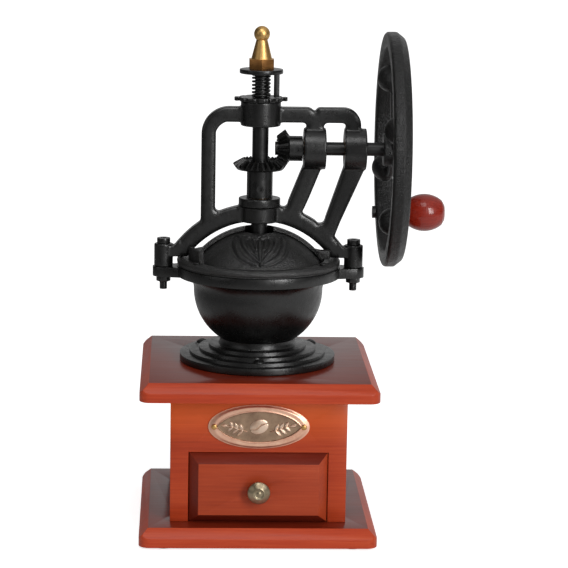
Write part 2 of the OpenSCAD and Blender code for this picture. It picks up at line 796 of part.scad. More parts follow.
// the flat casting of the yoke, seen from the front, as x and z
module yoke_outline() {
    bar_top = bar_z + bar_h / 2;
    bar_low = bar_z - bar_h / 2;
    bar_end_x = boss_b_mid + 2.9;
    leg_bend = 15.5;
    leg_inner_bend = 9;
    end_bend = 9.5;
    neck_w = 9.6;
    end_neck_w = 8.4;
    notch_bend = 5;
    notch_depth = 3;
    strut_z = crank_z - 9;
    inner_foot = [boss_a_mid - 9.6, arch_top_z + 9.5];
    outer_knee = [boss_b_mid - 11.6, arch_top_z + 1.2];
    outer_foot = [boss_b_mid - 15.5, arch_top_z - 11];
    difference() {
        offset(r = -2.2) offset(delta = 2.2) union() {
            // arch over the dome, down to the two feet
            intersection() {
                difference() {
                    translate([0, arch_z]) circle(arch_out_r, $fn = 180);
                    translate([0, arch_z]) circle(arch_r, $fn = 180);
                }
                translate([foot_end - clamp_x, foot_bar_z]) square([2 * (clamp_x - foot_end), arch_out_r]);
            }
            for (side = [-1, 1]) translate([side * (clamp_x - foot_reach / 2) - foot_reach / 2, foot_bar_z])
                square([foot_reach, foot_bar_h]);
            // left leg, the top bar and the end's neck, with rounded corners
            intersection() {
                union() {
                    translate([-leg_x, arch_top_z - 1]) square([leg_w, bar_top - arch_top_z]);
                    translate([-leg_x, bar_low]) square([leg_x + bar_end_x, bar_h]);
                    translate([bar_end_x - end_neck_w, crank_z]) square([end_neck_w, bar_z - crank_z]);
                    translate([leg_w - leg_x - past, bar_low - leg_inner_bend + past]) difference() {
                        square(leg_inner_bend);
                        translate([leg_inner_bend, 0]) circle(leg_inner_bend, $fn = 96);
                    }
                }
                hull() {
                    translate([-leg_x + leg_bend, bar_top - leg_bend]) circle(leg_bend, $fn = 96);
                    translate([bar_end_x - end_bend, bar_top - end_bend]) circle(end_bend, $fn = 96);
                    translate([-leg_x, arch_top_z - 1]) square([leg_x + bar_end_x, 1]);
                }
            }
            // neck from the bar to the inner crank boss, and the two struts below the bosses
            translate([boss_a_mid - neck_w / 2, crank_z]) square([neck_w, bar_z - crank_z]);
            strut([boss_a_mid - 0.6, strut_z], 5.2, inner_foot, 4.8);
            strut([boss_b_mid, strut_z], 5.6, outer_knee, 4.2);
            strut(outer_knee, 4.2, outer_foot, 3.6);
        }
        // window under the bar, between the two crank bosses and the struts
        offset(r = 2) offset(delta = -2) polygon([
            [boss_a_mid + 5, bar_low], [boss_b_mid - 6, bar_low], [boss_b_mid - 6, strut_z],
            [outer_knee[0] - 3.8, outer_knee[1] + 2.3], [outer_foot[0] - 3.1, outer_foot[1] + 7.6],
            [inner_foot[0] + 5, inner_foot[1] - 1], [boss_a_mid + 4.4, strut_z]
        ]);
        // notch in the top edge of the bar, between a long and a short curve
        translate([boss_a_mid, bar_top]) difference() {
            translate([-4.6, -notch_depth]) square([4.6 + notch_depth, notch_depth + past]);
            translate([-4.6, -notch_bend]) circle(notch_bend, $fn = 64);
            translate([notch_depth, -notch_depth]) circle(notch_depth, $fn = 64);
        }
    }
}

module yoke() {
    color(iron) difference() {
        union() {
            rotate([90, 0, 0]) linear_extrude(yoke_t, center = true) yoke_outline();
            translate([0, 0, upper_hub_z]) cylinder(d = upper_hub_d, h = upper_hub_h);
            translate([0, 0, lower_hub_z]) cylinder(d = lower_hub_d, h = lower_hub_h);
            translate([0, 0, lower_hub_top - lower_collar_h]) cylinder(d = lower_collar_d, h = lower_collar_h);
            for (x = [boss_a_x, boss_b_x]) translate([0, 0, crank_z]) x_rod(crank_boss_d / 2, x, x + crank_boss_l);
            at_clamps() translate([0, 0, clamp_foot_z]) cylinder(d = clamp_boss_d, h = clamp_boss_h);
        }
        for (z = [upper_hub_z, lower_hub_z])
            translate([0, 0, z - past]) cylinder(r = main_bush_r, h = upper_hub_h + 2 * past);
        for (x = [boss_a_x, boss_b_x]) translate([0, 0, crank_z])
            x_rod(crank_bush_r, x - past, x + crank_boss_l + past);
        at_clamps() translate([0, 0, clamp_foot_z - past])
            cylinder(d = clamp_bolt_d + 2 * fit_gap, h = clamp_boss_h + 2 * past);
    }
}

module clamp_bolts() {
    tail_z = clamp_foot_z - ear_t - bolt_tail;
    color(iron) at_clamps() difference() {
        union() {
            translate([0, 0, tail_z]) cylinder(d = clamp_bolt_d, h = clamp_top_z - tail_z + 1);
            translate([0, 0, clamp_top_z]) cylinder(d = clamp_bolt_d * 1.85, h = 3);
        }
        translate([0, 0, clamp_top_z + 1]) hex(clamp_bolt_d * 0.75, 3);
    }
}

module clamp_nuts() {
    color(iron) at_clamps() translate([0, 0, clamp_foot_z - ear_t - clamp_nut_h]) difference() {
        hex(clamp_nut_flats, clamp_nut_h);
        translate([0, 0, -past]) cylinder(d = clamp_bolt_d + 2 * fit_gap, h = clamp_nut_h + 2 * past);
    }
}

// a plain bush standing on the XY plane
module bush(shaft_d, r, h) {
    color(brass) difference() {
        cylinder(r = r - fit_gap, h = h);
        translate([0, 0, -past]) cylinder(r = shaft_d / 2 + run_gap, h = h + 2 * past);
    }
}

module upper_bush() {
    translate([0, 0, upper_hub_z]) bush(main_shaft_d, main_bush_r, upper_hub_h);
}

module lower_bush() {
    translate([0, 0, lower_hub_z]) bush(main_shaft_d, main_bush_r, lower_hub_h);
}

module inner_crank_bush() {
    translate([boss_a_x, 0, crank_z]) rotate([0, 90, 0]) bush(crank_shaft_d, crank_bush_r, crank_boss_l);
}

module outer_crank_bush() {
    translate([boss_b_x, 0, crank_z]) rotate([0, 90, 0]) bush(crank_shaft_d, crank_bush_r, crank_boss_l);
}

function involute(a) = tan(a) - a * PI / 180;

// half the angle of a tooth at height h over the pitch cone of a bevel gear
function half_tooth(r, cone, h) =
    let (flat_r = r / cos(cone), base_r = flat_r * cos(pressure))
    let (here = max(flat_r + h, base_r), thick = (PI * gear_module - backlash) / 2)
    (thick / (2 * flat_r) + involute(pressure) - involute(acos(base_r / here))) * 180 / PI / cos(cone);

// a point of the gear at height h over the pitch cone and angle a; the axis is -Z from the apex
function tooth_point(r, cone, h, a, k) = k * [
    (r + h * cos(cone)) * cos(a), (r + h * cos(cone)) * sin(a), -r / tan(cone) + h * sin(cone)
];

// half the angle of the gap between two teeth at height h
function half_gap(r, cone, teeth, h) = 180 / teeth - half_tooth(r, cone, h);

// cuts the gap between two teeth, narrowing towards the apex; a is the gap's angle
module tooth_gap(r, cone, teeth, a) {
    over = addendum + tooth_over;
    low = half_gap(r, cone, teeth, -dedendum);
    high = half_gap(r, cone, teeth, over);
    ends = [1 + tooth_over / cone_l, inner_scale - tooth_over / cone_l];
    polyhedron(
        [for (k = ends) each [
            tooth_point(r, cone, -dedendum, a - low, k), tooth_point(r, cone, -dedendum, a + low, k),
            tooth_point(r, cone, over, a + high, k), tooth_point(r, cone, over, a - high, k)
        ]],
        [[3, 2, 1, 0], [4, 5, 6, 7], [1, 5, 4, 0], [2, 6, 5, 1], [3, 7, 6, 2], [0, 4, 7, 3]]
    );
}

// section of a bevel gear's blank, from the tips of its teeth to a flat back, as [radius, height]
function gear_blank(r, cone, bore) =
    let (root = -dedendum - tooth_root, out_z = -r / tan(cone))
    let (tip = [r + addendum * cos(cone), out_z + addendum * sin(cone)])
    let (low = [r + root * cos(cone), out_z + root * sin(cone)])
    [
        [bore, low[1] - gear_back_drop], [low[0] - 0.6, low[1] - gear_back_drop], low, tip,
        tip * inner_scale, low * inner_scale, low * inner_scale - [0.5, 0.4],
        [bore, low[1] * inner_scale - 0.4]
    ];

// a bevel gear without its hub; first is the angle of its first tooth
module bevel_gear(r, cone, teeth, bore, first) {
    difference() {
        rotate_extrude() polygon(gear_blank(r, cone, bore));
        for (i = [0:teeth - 1]) tooth_gap(r, cone, teeth, first + 360 * (i + 0.5) / teeth);
    }
}

module drive_gear() {
    bore = main_shaft_d / 2 + fit_gap;
    sleeve_z = lower_hub_top + slide_gap - crank_z;
    color(iron) translate([0, 0, crank_z]) {
        bevel_gear(gear_r, gear_cone, gear_teeth, bore, 0);
        difference() {
            translate([0, 0, sleeve_z]) cylinder(d = sleeve_d, h = gear_back_z - sleeve_z + past);
            translate([0, 0, sleeve_z - past]) cylinder(r = bore, h = gear_back_z - sleeve_z + past * 2);
            translate([0, 0, gear_grub_z]) rotate([90, 0, 0]) cylinder(d = grub_d + 2 * fit_gap, h = sleeve_d);
        }
    }
}

// a grub screw along X, from x1 to x2, with a hexagon socket at its far end
module grub(x1, x2) {
    difference() {
        x_rod(grub_d / 2, x1, x2);
        translate([x2 - 1.2, 0, 0]) rotate([0, 90, 0]) hex(grub_d / 2, 2);
    }
}

module gear_grub_screw() {
    color(steel) translate([0, 0, crank_z + gear_grub_z]) rotate(-90)
        grub(main_shaft_d / 2 + slide_gap, sleeve_d / 2 - 0.2);
}

module notched_collar() {
    color(iron) translate([0, 0, collar_z]) difference() {
        union() {
            cylinder(d = collar_d, h = collar_t);
            for (side = [-1, 1]) translate([side * (collar_d / 2 - 1.2), 0, 0]) cylinder(r = 3.4, h = collar_t);
        }
        translate([0, 0, -past]) cylinder(r = stem_d / 2 + run_gap, h = collar_t + 2 * past);
        for (i = [1:notches]) rotate(360 * (i + 0.5) / notches) translate([collar_d / 2, 0, -past])
            cylinder(r = 1.3, h = collar_t + 2 * past, $fn = 24);
    }
}

// points of one ring round the spring's wire
function wire_ring(t) =
    let (turn = 360 * spring_turns * t, r = spring_d / 2 - wire_d / 2)
    let (z = wire_d / 2 + (spring_l - wire_d - slide_gap) * (t + 0.06 * sin(360 * t) * -1))
    [for (j = [0:7]) let (b = 45 * j, q = r + wire_d / 2 * cos(b)) [q * cos(turn), q * sin(turn), z + wire_d / 2 * sin(b)]];

module adjusting_spring() {
    count = ceil(spring_turns * 18);
    color(steel) translate([0, 0, spring_z + slide_gap / 2]) polyhedron(
        [for (i = [0:count]) each wire_ring(i / count)],
        concat(
            [[for (j = [0:7]) j], [for (j = [7:-1:0]) count * 8 + j]],
            [for (i = [0:count - 1], j = [0:7])
                [i * 8 + j, i * 8 + 8 + j, i * 8 + 8 + (j + 1) % 8, i * 8 + (j + 1) % 8]]
        )
    );
}

module lock_washer() {
    tab_x = washer_d / 2 - 3.2;
    color(iron) translate([0, 0, washer_z]) difference() {
        union() {
            cylinder(d = washer_d, h = washer_t);
            rotate(-30) translate([tab_x, -2.2, -spring_l + slide_gap]) cube([1.6, 4.4, spring_l]);
        }
        translate([0, 0, -past]) cylinder(r = stem_d / 2 + slide_gap, h = washer_t + 2 * past);
    }
}

module finial_nut() {
    base_r = 5.75;
    top_r = 3.1;
    color(brass) difference() {
        union() {
            translate([0, 0, nut_z + washer_lift]) rotate(30) hex(nut_flats, nut_h - washer_lift);
            translate([0, 0, nut_cone_z - past]) cylinder(r = base_r, h = past + 0.01);
            translate([0, 0, nut_cone_z]) cylinder(r1 = base_r, r2 = top_r, h = nut_cone_h);
            translate([0, 0, ball_z]) sphere(d = ball_d);
        }
        translate([0, 0, nut_z]) cylinder(r = stem_d / 2 + run_gap, h = stem_top_z - nut_z + 2.4);
    }
}

module main_shaft() {
    color(steel) {
        translate([0, 0, shaft_bottom_z]) cylinder(r = tail_r, h = burr_z - shaft_bottom_z + past);
        translate([0, 0, burr_z]) cylinder(d = main_shaft_d, h = shoulder_z - burr_z);
        translate([0, 0, shoulder_z - past]) cylinder(d = stem_d, h = stem_top_z - shoulder_z + past);
    }
}

module inner_burr() {
    color(steel) translate([0, 0, burr_z]) difference() {
        cylinder(r1 = burr_r, r2 = burr_r - burr_taper, h = burr_h);
        translate([0, 0, -past]) cylinder(r = main_shaft_d / 2 + fit_gap, h = burr_h + 2 * past);
        burr_cuts(burr_r - burr_taper / 2 + 0.5, 18);
    }
}

module burr_washer() {
    color(steel) translate([0, 0, burr_z - 0.8]) difference() {
        cylinder(r = 6.5, h = 0.8);
        translate([0, 0, -past]) cylinder(r = tail_r + fit_gap, h = 2);
    }
}

module burr_nut() {
    color(steel) translate([0, 0, shaft_bottom_z]) difference() {
        hex(10, burr_z - 0.8 - shaft_bottom_z);
        translate([0, 0, -past]) cylinder(r = tail_r + fit_gap, h = 5);
    }
}

module crank_shaft() {
    color(steel) translate([0, 0, crank_z]) {
        x_rod(crank_shaft_d / 2, crank_end_x, hub_out_x - 0.4);
        x_rod(stud_d / 2, hub_out_x - 0.5, hub_out_x + wheel_washer_t + wheel_nut_h + 1.5);
    }
}

module pinion() {
    bore = crank_shaft_d / 2 + fit_gap;
    color(iron) translate([0, 0, crank_z]) {
        rotate([0, -90, 0]) bevel_gear(pinion_r, pinion_cone, pinion_teeth, bore, 180 / pinion_teeth);
        difference() {
            x_rod(pinion_hub_d / 2, pinion_back_x - past, pinion_back_x + pinion_hub_l - 1);
            x_rod(bore, pinion_back_x - past * 2, pinion_back_x + pinion_hub_l);
            translate([pinion_back_x + pinion_hub_l / 2, 0, 0]) rotate([90, 0, 0])
                cylinder(d = grub_d + 2 * fit_gap, h = pinion_hub_d);
        }
    }
}

module pinion_grub_screw() {
    color(steel) translate([pinion_back_x + pinion_hub_l / 2, 0, crank_z]) rotate(-90)
        grub(crank_shaft_d / 2 + slide_gap, pinion_hub_d / 2 - 0.2);
}

// half width of a spoke at distance r from the axis
function spoke_half(r) = spoke_w / 2 * (1 + 0.5 * pow((r - 32) / 26, 2));

// angle of a spoke's centre line at distance r, an S round the bead's angle
function spoke_angle(r) = spoke_swing * sin(360 * (r - bead_circle_r) / (2 * (rim_in_r - wheel_hub_d / 2)));

// outline of one spoke along +X, from the hub to the rim
module spoke_outline() {
    from = wheel_hub_d / 2 - 2;
    to = rim_in_r + 2;
    n = 14;
    radii = [for (i = [0:n]) from + (to - from) * i / n];
    polygon(concat(
        [for (i = [0:n]) let (r = radii[i], a = spoke_angle(r)) r * [cos(a), sin(a)] + spoke_half(r) * [-sin(a), cos(a)]],
        [for (i = [n:-1:0]) let (r = radii[i], a = spoke_angle(r)) r * [cos(a), sin(a)] - spoke_half(r) * [-sin(a), cos(a)]]
    ));
}

// turns a shape made round +Z, seen from the wheel's outer side, onto the crank axis, +X up
module on_wheel(x) {
    translate([x, 0, crank_z]) rotate([0, 90, 0]) rotate(180) children();
}

module hand_wheel() {
    edge = 1;
    bevel = rim_w - rim_flat;
    color(iron) difference() {
        union() {
            on_wheel(wheel_x) rotate_extrude($fn = 180) polygon([
                [rim_in_r + edge, 0], [wheel_r - edge, 0], [wheel_r, edge], [wheel_r, rim_flat],
                [wheel_r - bevel * 0.8, rim_w], [rim_in_r + edge, rim_w], [rim_in_r, rim_w - edge], [rim_in_r, edge]
            ]);
            for (i = [0:spokes - 1]) on_wheel(spoke_x) rotate(-22 - i * 360 / spokes)
                linear_extrude(spoke_t) spoke_outline();
            for (i = [0:spokes - 1]) on_wheel(spoke_x) rotate(-22 - i * 360 / spokes)
                translate([bead_circle_r, 0, 0]) difference() {
                    sphere(r = bead_r);
                    translate([-bead_r - 1, -bead_r - 1, spoke_t]) cube([2 * bead_r + 2, 2 * bead_r + 2, bead_r]);
                }
            on_wheel(wheel_x - 0.3) cylinder(d = wheel_hub_d, h = wheel_hub_l);
        }
        on_wheel(wheel_x - past - 0.3) cylinder(d = crank_shaft_d + 2 * fit_gap, h = wheel_hub_l + 2 * past);
        on_wheel(wheel_x - past) rotate(-handle_angle) translate([rim_mid_r, 0, 0])
            cylinder(d = pin_d + 2 * fit_gap, h = rim_w + 2 * past);
    }
}

module wheel_washer() {
    color(steel) on_wheel(hub_out_x) difference() {
        cylinder(d = wheel_nut_flats * 1.3, h = wheel_washer_t);
        translate([0, 0, -past]) cylinder(d = stud_d + 2 * fit_gap, h = wheel_washer_t + 2 * past);
    }
}

module wheel_nut() {
    color(steel) on_wheel(hub_out_x + wheel_washer_t) difference() {
        hex(wheel_nut_flats, wheel_nut_h);
        translate([0, 0, -past]) cylinder(d = stud_d + 2 * fit_gap, h = wheel_nut_h + 2 * past);
    }
}

// places a shape made round +Z on the handle's axis, at distance x from the main axis
module on_handle(x) {
    translate([x, handle_y, handle_z]) rotate([0, 90, 0]) children();
}

module handle_pin() {
    cap_x = knob_x + knob_l - pin_cap_sink - pin_cap_h;
    color(steel) {
        on_handle(wheel_x) cylinder(d = pin_d, h = cap_x + pin_cap_h / 2 - wheel_x);
        on_handle(wheel_x - pin_tail_h) cylinder(d = pin_tail_d, h = pin_tail_h);
        on_handle(cap_x) cylinder(d = pin_cap_d, h = pin_cap_h);
    }
}

module handle_washer() {
    color(steel) on_handle(wheel_x + rim_w) difference() {
        cylinder(d = handle_washer_d, h = handle_washer_t);
        translate([0, 0, -past]) cylinder(d = pin_d + 2 * fit_gap, h = handle_washer_t + 2 * past);
    }
}

module handle_knob() {
    r = knob_d / 2;
    neck_r = 5;
    neck_l = 5.2;
    seat_h = pin_cap_sink + pin_cap_h + slide_gap;
    color("firebrick") on_handle(knob_x) difference() {
        rotate_extrude() polygon(concat(
            [[0, 0], [neck_r, 0], [neck_r + 0.6, 1.4], [neck_r + 0.2, 3.2], [neck_r + 0.6, neck_l - 0.6]],
            [for (i = [0:16]) let (t = -1 + 2 * i / 16, end_r = neck_r - 0.4)
                [end_r + (r - end_r) * pow(cos(90 * t), 0.55), neck_l + (knob_l - neck_l) * (t + 1) / 2]],
            [[0, knob_l]]
        ));
        translate([0, 0, -past]) cylinder(r = pin_d / 2 + run_gap, h = knob_l + 2 * past);
        translate([0, 0, knob_l - seat_h]) cylinder(r = pin_cap_d / 2 + slide_gap, h = seat_h + past);
    }
}

foot_pads();
bottom_board();
board_screws();
left_wall();
right_wall();
back_wall();
front_panel();
drawer_runners();
top_board();
nameplate();
nameplate_nails();
drawer_front();
drawer_left_side();
drawer_right_side();
drawer_back();
drawer_bottom();
drawer_knob();
drawer_knob_screw();
bowl();
bowl_screws();
outer_burr();
fixed_cover();
cover_screws();
sliding_cover();
yoke();
clamp_bolts();
clamp_nuts();
upper_bush();
lower_bush();
inner_crank_bush();
outer_crank_bush();
drive_gear();
gear_grub_screw();
notched_collar();
adjusting_spring();
lock_washer();
finial_nut();
main_shaft();
inner_burr();
burr_washer();
burr_nut();
crank_shaft();
pinion();
pinion_grub_screw();
hand_wheel();
wheel_washer();
wheel_nut();
handle_pin();
handle_washer();
handle_knob();
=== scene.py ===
"""Looks of a hand crank coffee grinder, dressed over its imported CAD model.

Metres, +Z up, the drawer at -Y and the hand wheel at +X. Pieces take their places from the CAD
nodes' boxes.
"""

import json
import math

import bmesh
import bpy
import numpy as np
from mathutils import Matrix, Vector
from mathutils.kdtree import KDTree


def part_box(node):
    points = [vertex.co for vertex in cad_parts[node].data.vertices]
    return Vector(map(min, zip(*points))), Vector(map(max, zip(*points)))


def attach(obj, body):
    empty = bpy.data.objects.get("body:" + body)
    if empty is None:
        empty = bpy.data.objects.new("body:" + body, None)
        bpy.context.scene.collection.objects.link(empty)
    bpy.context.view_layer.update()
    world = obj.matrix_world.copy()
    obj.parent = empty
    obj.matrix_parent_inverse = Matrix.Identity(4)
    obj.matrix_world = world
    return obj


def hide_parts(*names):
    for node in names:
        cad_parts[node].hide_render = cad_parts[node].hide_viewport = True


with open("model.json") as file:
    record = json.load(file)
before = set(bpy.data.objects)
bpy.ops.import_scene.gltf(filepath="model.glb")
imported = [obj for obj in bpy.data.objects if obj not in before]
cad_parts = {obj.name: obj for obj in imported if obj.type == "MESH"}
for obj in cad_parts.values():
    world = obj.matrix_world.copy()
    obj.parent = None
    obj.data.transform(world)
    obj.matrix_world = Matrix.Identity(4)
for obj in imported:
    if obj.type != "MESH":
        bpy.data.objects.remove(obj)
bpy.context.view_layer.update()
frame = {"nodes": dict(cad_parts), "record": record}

MM = 0.001
BODY = {
    node: body
    for body, nodes in frame["record"]["behaviour"]["bodies"].items()
    for node in nodes
}


def centre(node):
    low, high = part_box(node)
    return (low + high) / 2


panel_low, panel_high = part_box("front_panel")
bowl_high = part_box("bowl")[1]
rim_z, rim_r = bowl_high.z, bowl_high.y
crank_z = centre("crank_shaft").z


# ---------------------------------------------------------------- node trees

MIDDLE = (0.3, 0.7)  # where most of a noise's values lie


class Nodes:
    """The node tree of a material or a world, with short ways to add and join nodes."""

    def __init__(self, owner):
        owner.use_nodes = True
        self.owner = owner
        self.tree = owner.node_tree

    def add(self, kind, inputs=(), **settings):
        node = self.tree.nodes.new("ShaderNode" + kind)
        for key, value in settings.items():
            setattr(node, key, value)
        for key, value in dict(inputs).items():
            self.put(node, key, value)
        return node

    def put(self, node, key, value):
        """Joins or sets an input. A colour is given without its alpha."""
        socket = node.inputs[key]
        if isinstance(value, bpy.types.NodeSocket):
            self.tree.links.new(value, socket)
        elif socket.type == "RGBA":
            socket.default_value = (*value, 1.0)
        else:
            socket.default_value = value

    def place(self):
        """Coordinates of the object, in metres."""
        return self.add("TexCoord").outputs["Object"]

    def part(self, vector, axis):
        """One coordinate of vector."""
        return self.add("SeparateXYZ", {0: vector}).outputs[axis]

    def stretched(self, scale, offset=(0, 0, 0)):
        """Object coordinates, scaled and moved."""
        inputs = {"Vector": self.place(), "Scale": scale, "Location": offset}
        return self.add("Mapping", inputs).outputs["Vector"]

    def noise(self, vector, scale, detail, roughness):
        inputs = {"Vector": vector, "Scale": scale, "Detail": detail, "Roughness": roughness}
        return self.add("TexNoise", inputs).outputs["Fac"]

    def ramp(self, value, *stops):
        """A colour ramp from (place, colour) pairs."""
        node = self.add("ValToRGB", {"Fac": value})
        elements = node.color_ramp.elements
        while len(elements) < len(stops):
            elements.new(0.5)
        for element, (place, colour) in zip(elements, stops):
            element.position = place
            element.color = (*colour, 1.0)
        return node.outputs["Color"]

    def spread(self, value, low, high, start=0.0, end=1.0):
        """value, from start to end, mapped to low to high."""
        inputs = {"Value": value, "From Min": start, "From Max": end, "To Min": low, "To Max": high}
        return self.add("MapRange", inputs).outputs["Result"]

    def uneven(self, noise, middle, swing):
        """middle, swinging with a noise."""
        return self.spread(noise, middle + swing[0], middle + swing[1], *MIDDLE)

    def mix(self, factor, a, b):
        """Colour a turning into colour b."""
        node = self.add("Mix", {"Factor": factor}, data_type="RGBA")
        colours = [key for key, socket in enumerate(node.inputs) if socket.type == "RGBA"]
        for key, value in zip(colours, (a, b)):
            self.put(node, key, value)
        return next(socket for socket in node.outputs if socket.type == "RGBA")

    def math(self, operation, a, b):
        return self.add("Math", {0: a, 1: b}, operation=operation).outputs[0]

    def bump(self, height, distance, strength, under=None):
        """A normal bent by height, on top of the bump under."""
        inputs = {"Height": height, "Distance": distance, "Strength": strength}
        if under is not None:
            inputs["Normal"] = under
        return self.add("Bump", inputs).outputs["Normal"]

    def finish(self, **sockets):
        """Sets the shader's sockets, named with _ for a space."""
        for key, value in sockets.items():
            self.put(self.tree.nodes["Principled BSDF"], key.replace("_", " "), value)
        return self.owner


def material_nodes(name):
    return Nodes(bpy.data.materials.new(name))


def linear(red, green, blue):
    """A colour given as sRGB bytes."""
    return tuple(
        c / 12.92 if c <= 0.04045 else ((c + 0.055) / 1.055) ** 2.4
        for c in (red / 255, green / 255, blue / 255)
    )


# ---------------------------------------------------------------- materials
# A noise is given as its scale in cells per metre, its detail and its roughness, and a bump as its
# distance in metres and its strength.

UNSTRETCHED = (1.0, 1.0, 1.0)

# How far roughness swings about its middle.
WOOD_SWING, IRON_SWING, METAL_SWING = (-0.05, 0.09), (-0.05, 0.08), (-0.06, 0.10)

CLOUD_ALONG, CLOUD_ACROSS = 7.0, 30.8
STREAK_ALONG, STREAK_ACROSS = 28.0, 840.0
PORE_FINENESS = 1.6
WAVE_SCALE = (55.0, 55.0, 55.0)
CLOUD_NOISE, STREAK_NOISE = (1.0, 3.0, 0.55), (1.0, 4.0, 0.6)
PORE_NOISE, WAVE_NOISE = (1.0, 2.0, 0.5), (1.0, 1.0, 0.4)
PORE_BUMP, WAVE_BUMP = (0.00003, 0.4), (0.0006, 0.25)
CLOUD_SHARE, STREAK_SHARE = 0.55, 0.45
STAIN_STOPS = (0.30, 0.50, 0.70)
# How much of the painted light band shows, swinging with the cloud noise.
PAINTED_LIGHT_UNEVEN, PAINTED_LIGHT_FULL = 0.75, 1.1
WOOD_COAT_ROUGH, WOOD_SHINE = 0.16, 0.22


def wood(name, stains, along="x", gloss=0.40, coat=0.10, seed=0.0, painted_light_band=None):
    """Stained and lacquered wood, with its grain along an axis.

    stains are its dark, middle and light colour, as sRGB bytes. The last argument is the low z, the
    high z and the colour of a band of painted light, a warmer and lighter colour standing in for
    light.
    """
    n = material_nodes(name)
    axis = "xyz".index(along)
    broad, fine = [CLOUD_ACROSS] * 3, [STREAK_ACROSS] * 3
    broad[axis], fine[axis] = CLOUD_ALONG, STREAK_ALONG
    cloud = n.noise(n.stretched(broad, (seed, seed, seed)), *CLOUD_NOISE)
    streak = n.noise(n.stretched(fine, (seed, 2 * seed, seed)), *STREAK_NOISE)
    blend = n.math(
        "ADD", n.math("MULTIPLY", cloud, CLOUD_SHARE), n.math("MULTIPLY", streak, STREAK_SHARE)
    )
    colour = n.ramp(blend, *zip(STAIN_STOPS, (linear(*stain) for stain in stains)))
    # Painted light: the colour turns warmer and lighter from the low z to the high z, patchy with
    # the cloud noise, standing in for light on the wood.
    if painted_light_band:
        low, high, painted_light_colour = painted_light_band
        share = n.spread(n.part(n.place(), "Z"), 0.0, 1.0, low, high)
        share = n.math("MULTIPLY", share, n.spread(cloud, PAINTED_LIGHT_UNEVEN, PAINTED_LIGHT_FULL, *MIDDLE))
        colour = n.mix(share, colour, linear(*painted_light_colour))
    pores = n.noise(n.stretched([scale * PORE_FINENESS for scale in fine]), *PORE_NOISE)
    wave = n.noise(n.stretched(WAVE_SCALE), *WAVE_NOISE)
    return n.finish(
        Base_Color=colour,
        Roughness=n.uneven(streak, gloss, WOOD_SWING),
        Normal=n.bump(wave, *WAVE_BUMP, n.bump(pores, *PORE_BUMP)),
        Coat_Weight=coat,
        Coat_Roughness=WOOD_COAT_ROUGH,
        Specular_IOR_Level=WOOD_SHINE,
    )


SAND_NOISE, LUMP_NOISE = (1500.0, 3.0, 0.6), (260.0, 2.0, 0.5)
PAINT_NOISE = (90.0, 3.0, 0.6)
SAND_STRENGTH, LUMP_STRENGTH = 0.8, 0.45
LUMP_DEPTH = 2.2  # of the grain's depth
THIN_PAINT = 0.80
THICK_PAINT = (1.25, 1.22, 1.15)


def iron(name, grain, rough, level=0.0035, shine=0.6):
    """Satin black paint over cast iron. grain is the depth of the casting's texture."""
    n = material_nodes(name)
    plain = n.stretched(UNSTRETCHED)
    sand = n.noise(plain, *SAND_NOISE)
    lumps = n.noise(plain, *LUMP_NOISE)
    colour = n.ramp(
        n.noise(plain, *PAINT_NOISE),
        (MIDDLE[0], (level * THIN_PAINT,) * 3),
        (MIDDLE[1], tuple(level * share for share in THICK_PAINT)),
    )
    sandy = n.bump(sand, grain, SAND_STRENGTH)
    return n.finish(
        Base_Color=colour,
        Roughness=n.uneven(lumps, rough, IRON_SWING),
        Normal=n.bump(lumps, grain * LUMP_DEPTH, LUMP_STRENGTH, sandy),
        Specular_IOR_Level=shine,
    )


TARNISH_NOISE, MARK_NOISE = (160.0, 5.0, 0.65), (1.0, 2.0, 0.6)
MARK_STRENGTH = 0.5
TARNISH_DARK = 0.6
LATHE_MARKS = (500.0, 500.0, 4200.0)
BRUSHED = (900.0, 900.0, 900.0)


def metal(name, colour, rough, marks=LATHE_MARKS, depth=0.00002, tarnish=None, amount=0.5):
    """Bare metal with tool marks of some depth; tarnish darkens an amount of it in patches."""
    n = material_nodes(name)
    patches = n.noise(n.stretched(UNSTRETCHED), *TARNISH_NOISE)
    fine = n.noise(n.stretched(marks), *MARK_NOISE)
    dark = tarnish or tuple(c * TARNISH_DARK for c in colour)
    return n.finish(
        Base_Color=n.ramp(patches, (0.5 - amount / 2, dark), (0.5 + amount / 4, colour)),
        Metallic=1.0,
        Roughness=n.uneven(fine, rough, METAL_SWING),
        Normal=n.bump(fine, depth, MARK_STRENGTH),
    )


RUBBER_NOISE, RUBBER_BUMP = (900.0, 3.0, 0.6), (0.0001, 0.6)
RUBBER_DARK, RUBBER_LIGHT, RUBBER_ROUGH = 0.010, 0.020, 0.8


def rubber(name):
    n = material_nodes(name)
    sand = n.noise(n.stretched(UNSTRETCHED), *RUBBER_NOISE)
    dark, light = (RUBBER_DARK,) * 3, (RUBBER_LIGHT,) * 3
    return n.finish(
        Base_Color=n.ramp(sand, (MIDDLE[0], dark), (MIDDLE[1], light)),
        Roughness=RUBBER_ROUGH,
        Normal=n.bump(sand, *RUBBER_BUMP),
    )


RED_STAIN = ((130, 42, 18), (164, 57, 26), (182, 71, 34))
PAINTED_LIGHT_FROM = 0.62  # of the front panel's height, where the band of painted light begins

board_wood = wood(
    "board_wood", ((146, 46, 22), (172, 60, 30), (188, 76, 40)), seed=3.1, gloss=0.38
)
# The front panel's wood has painted light: a warmer, lighter band towards its top, made strong
# enough to outshine the shade under the top board's overhang.
body_wood = wood(
    "body_wood",
    RED_STAIN,
    seed=7.7,
    painted_light_band=(
        panel_low.z + PAINTED_LIGHT_FROM * (panel_high.z - panel_low.z),
        panel_high.z,
        (222, 98, 38),
    ),
)
side_wood = wood("side_wood", RED_STAIN, along="y", seed=5.2)
front_wood = wood("drawer_wood", ((136, 48, 24), (158, 60, 30), (172, 72, 38)), seed=11.3)
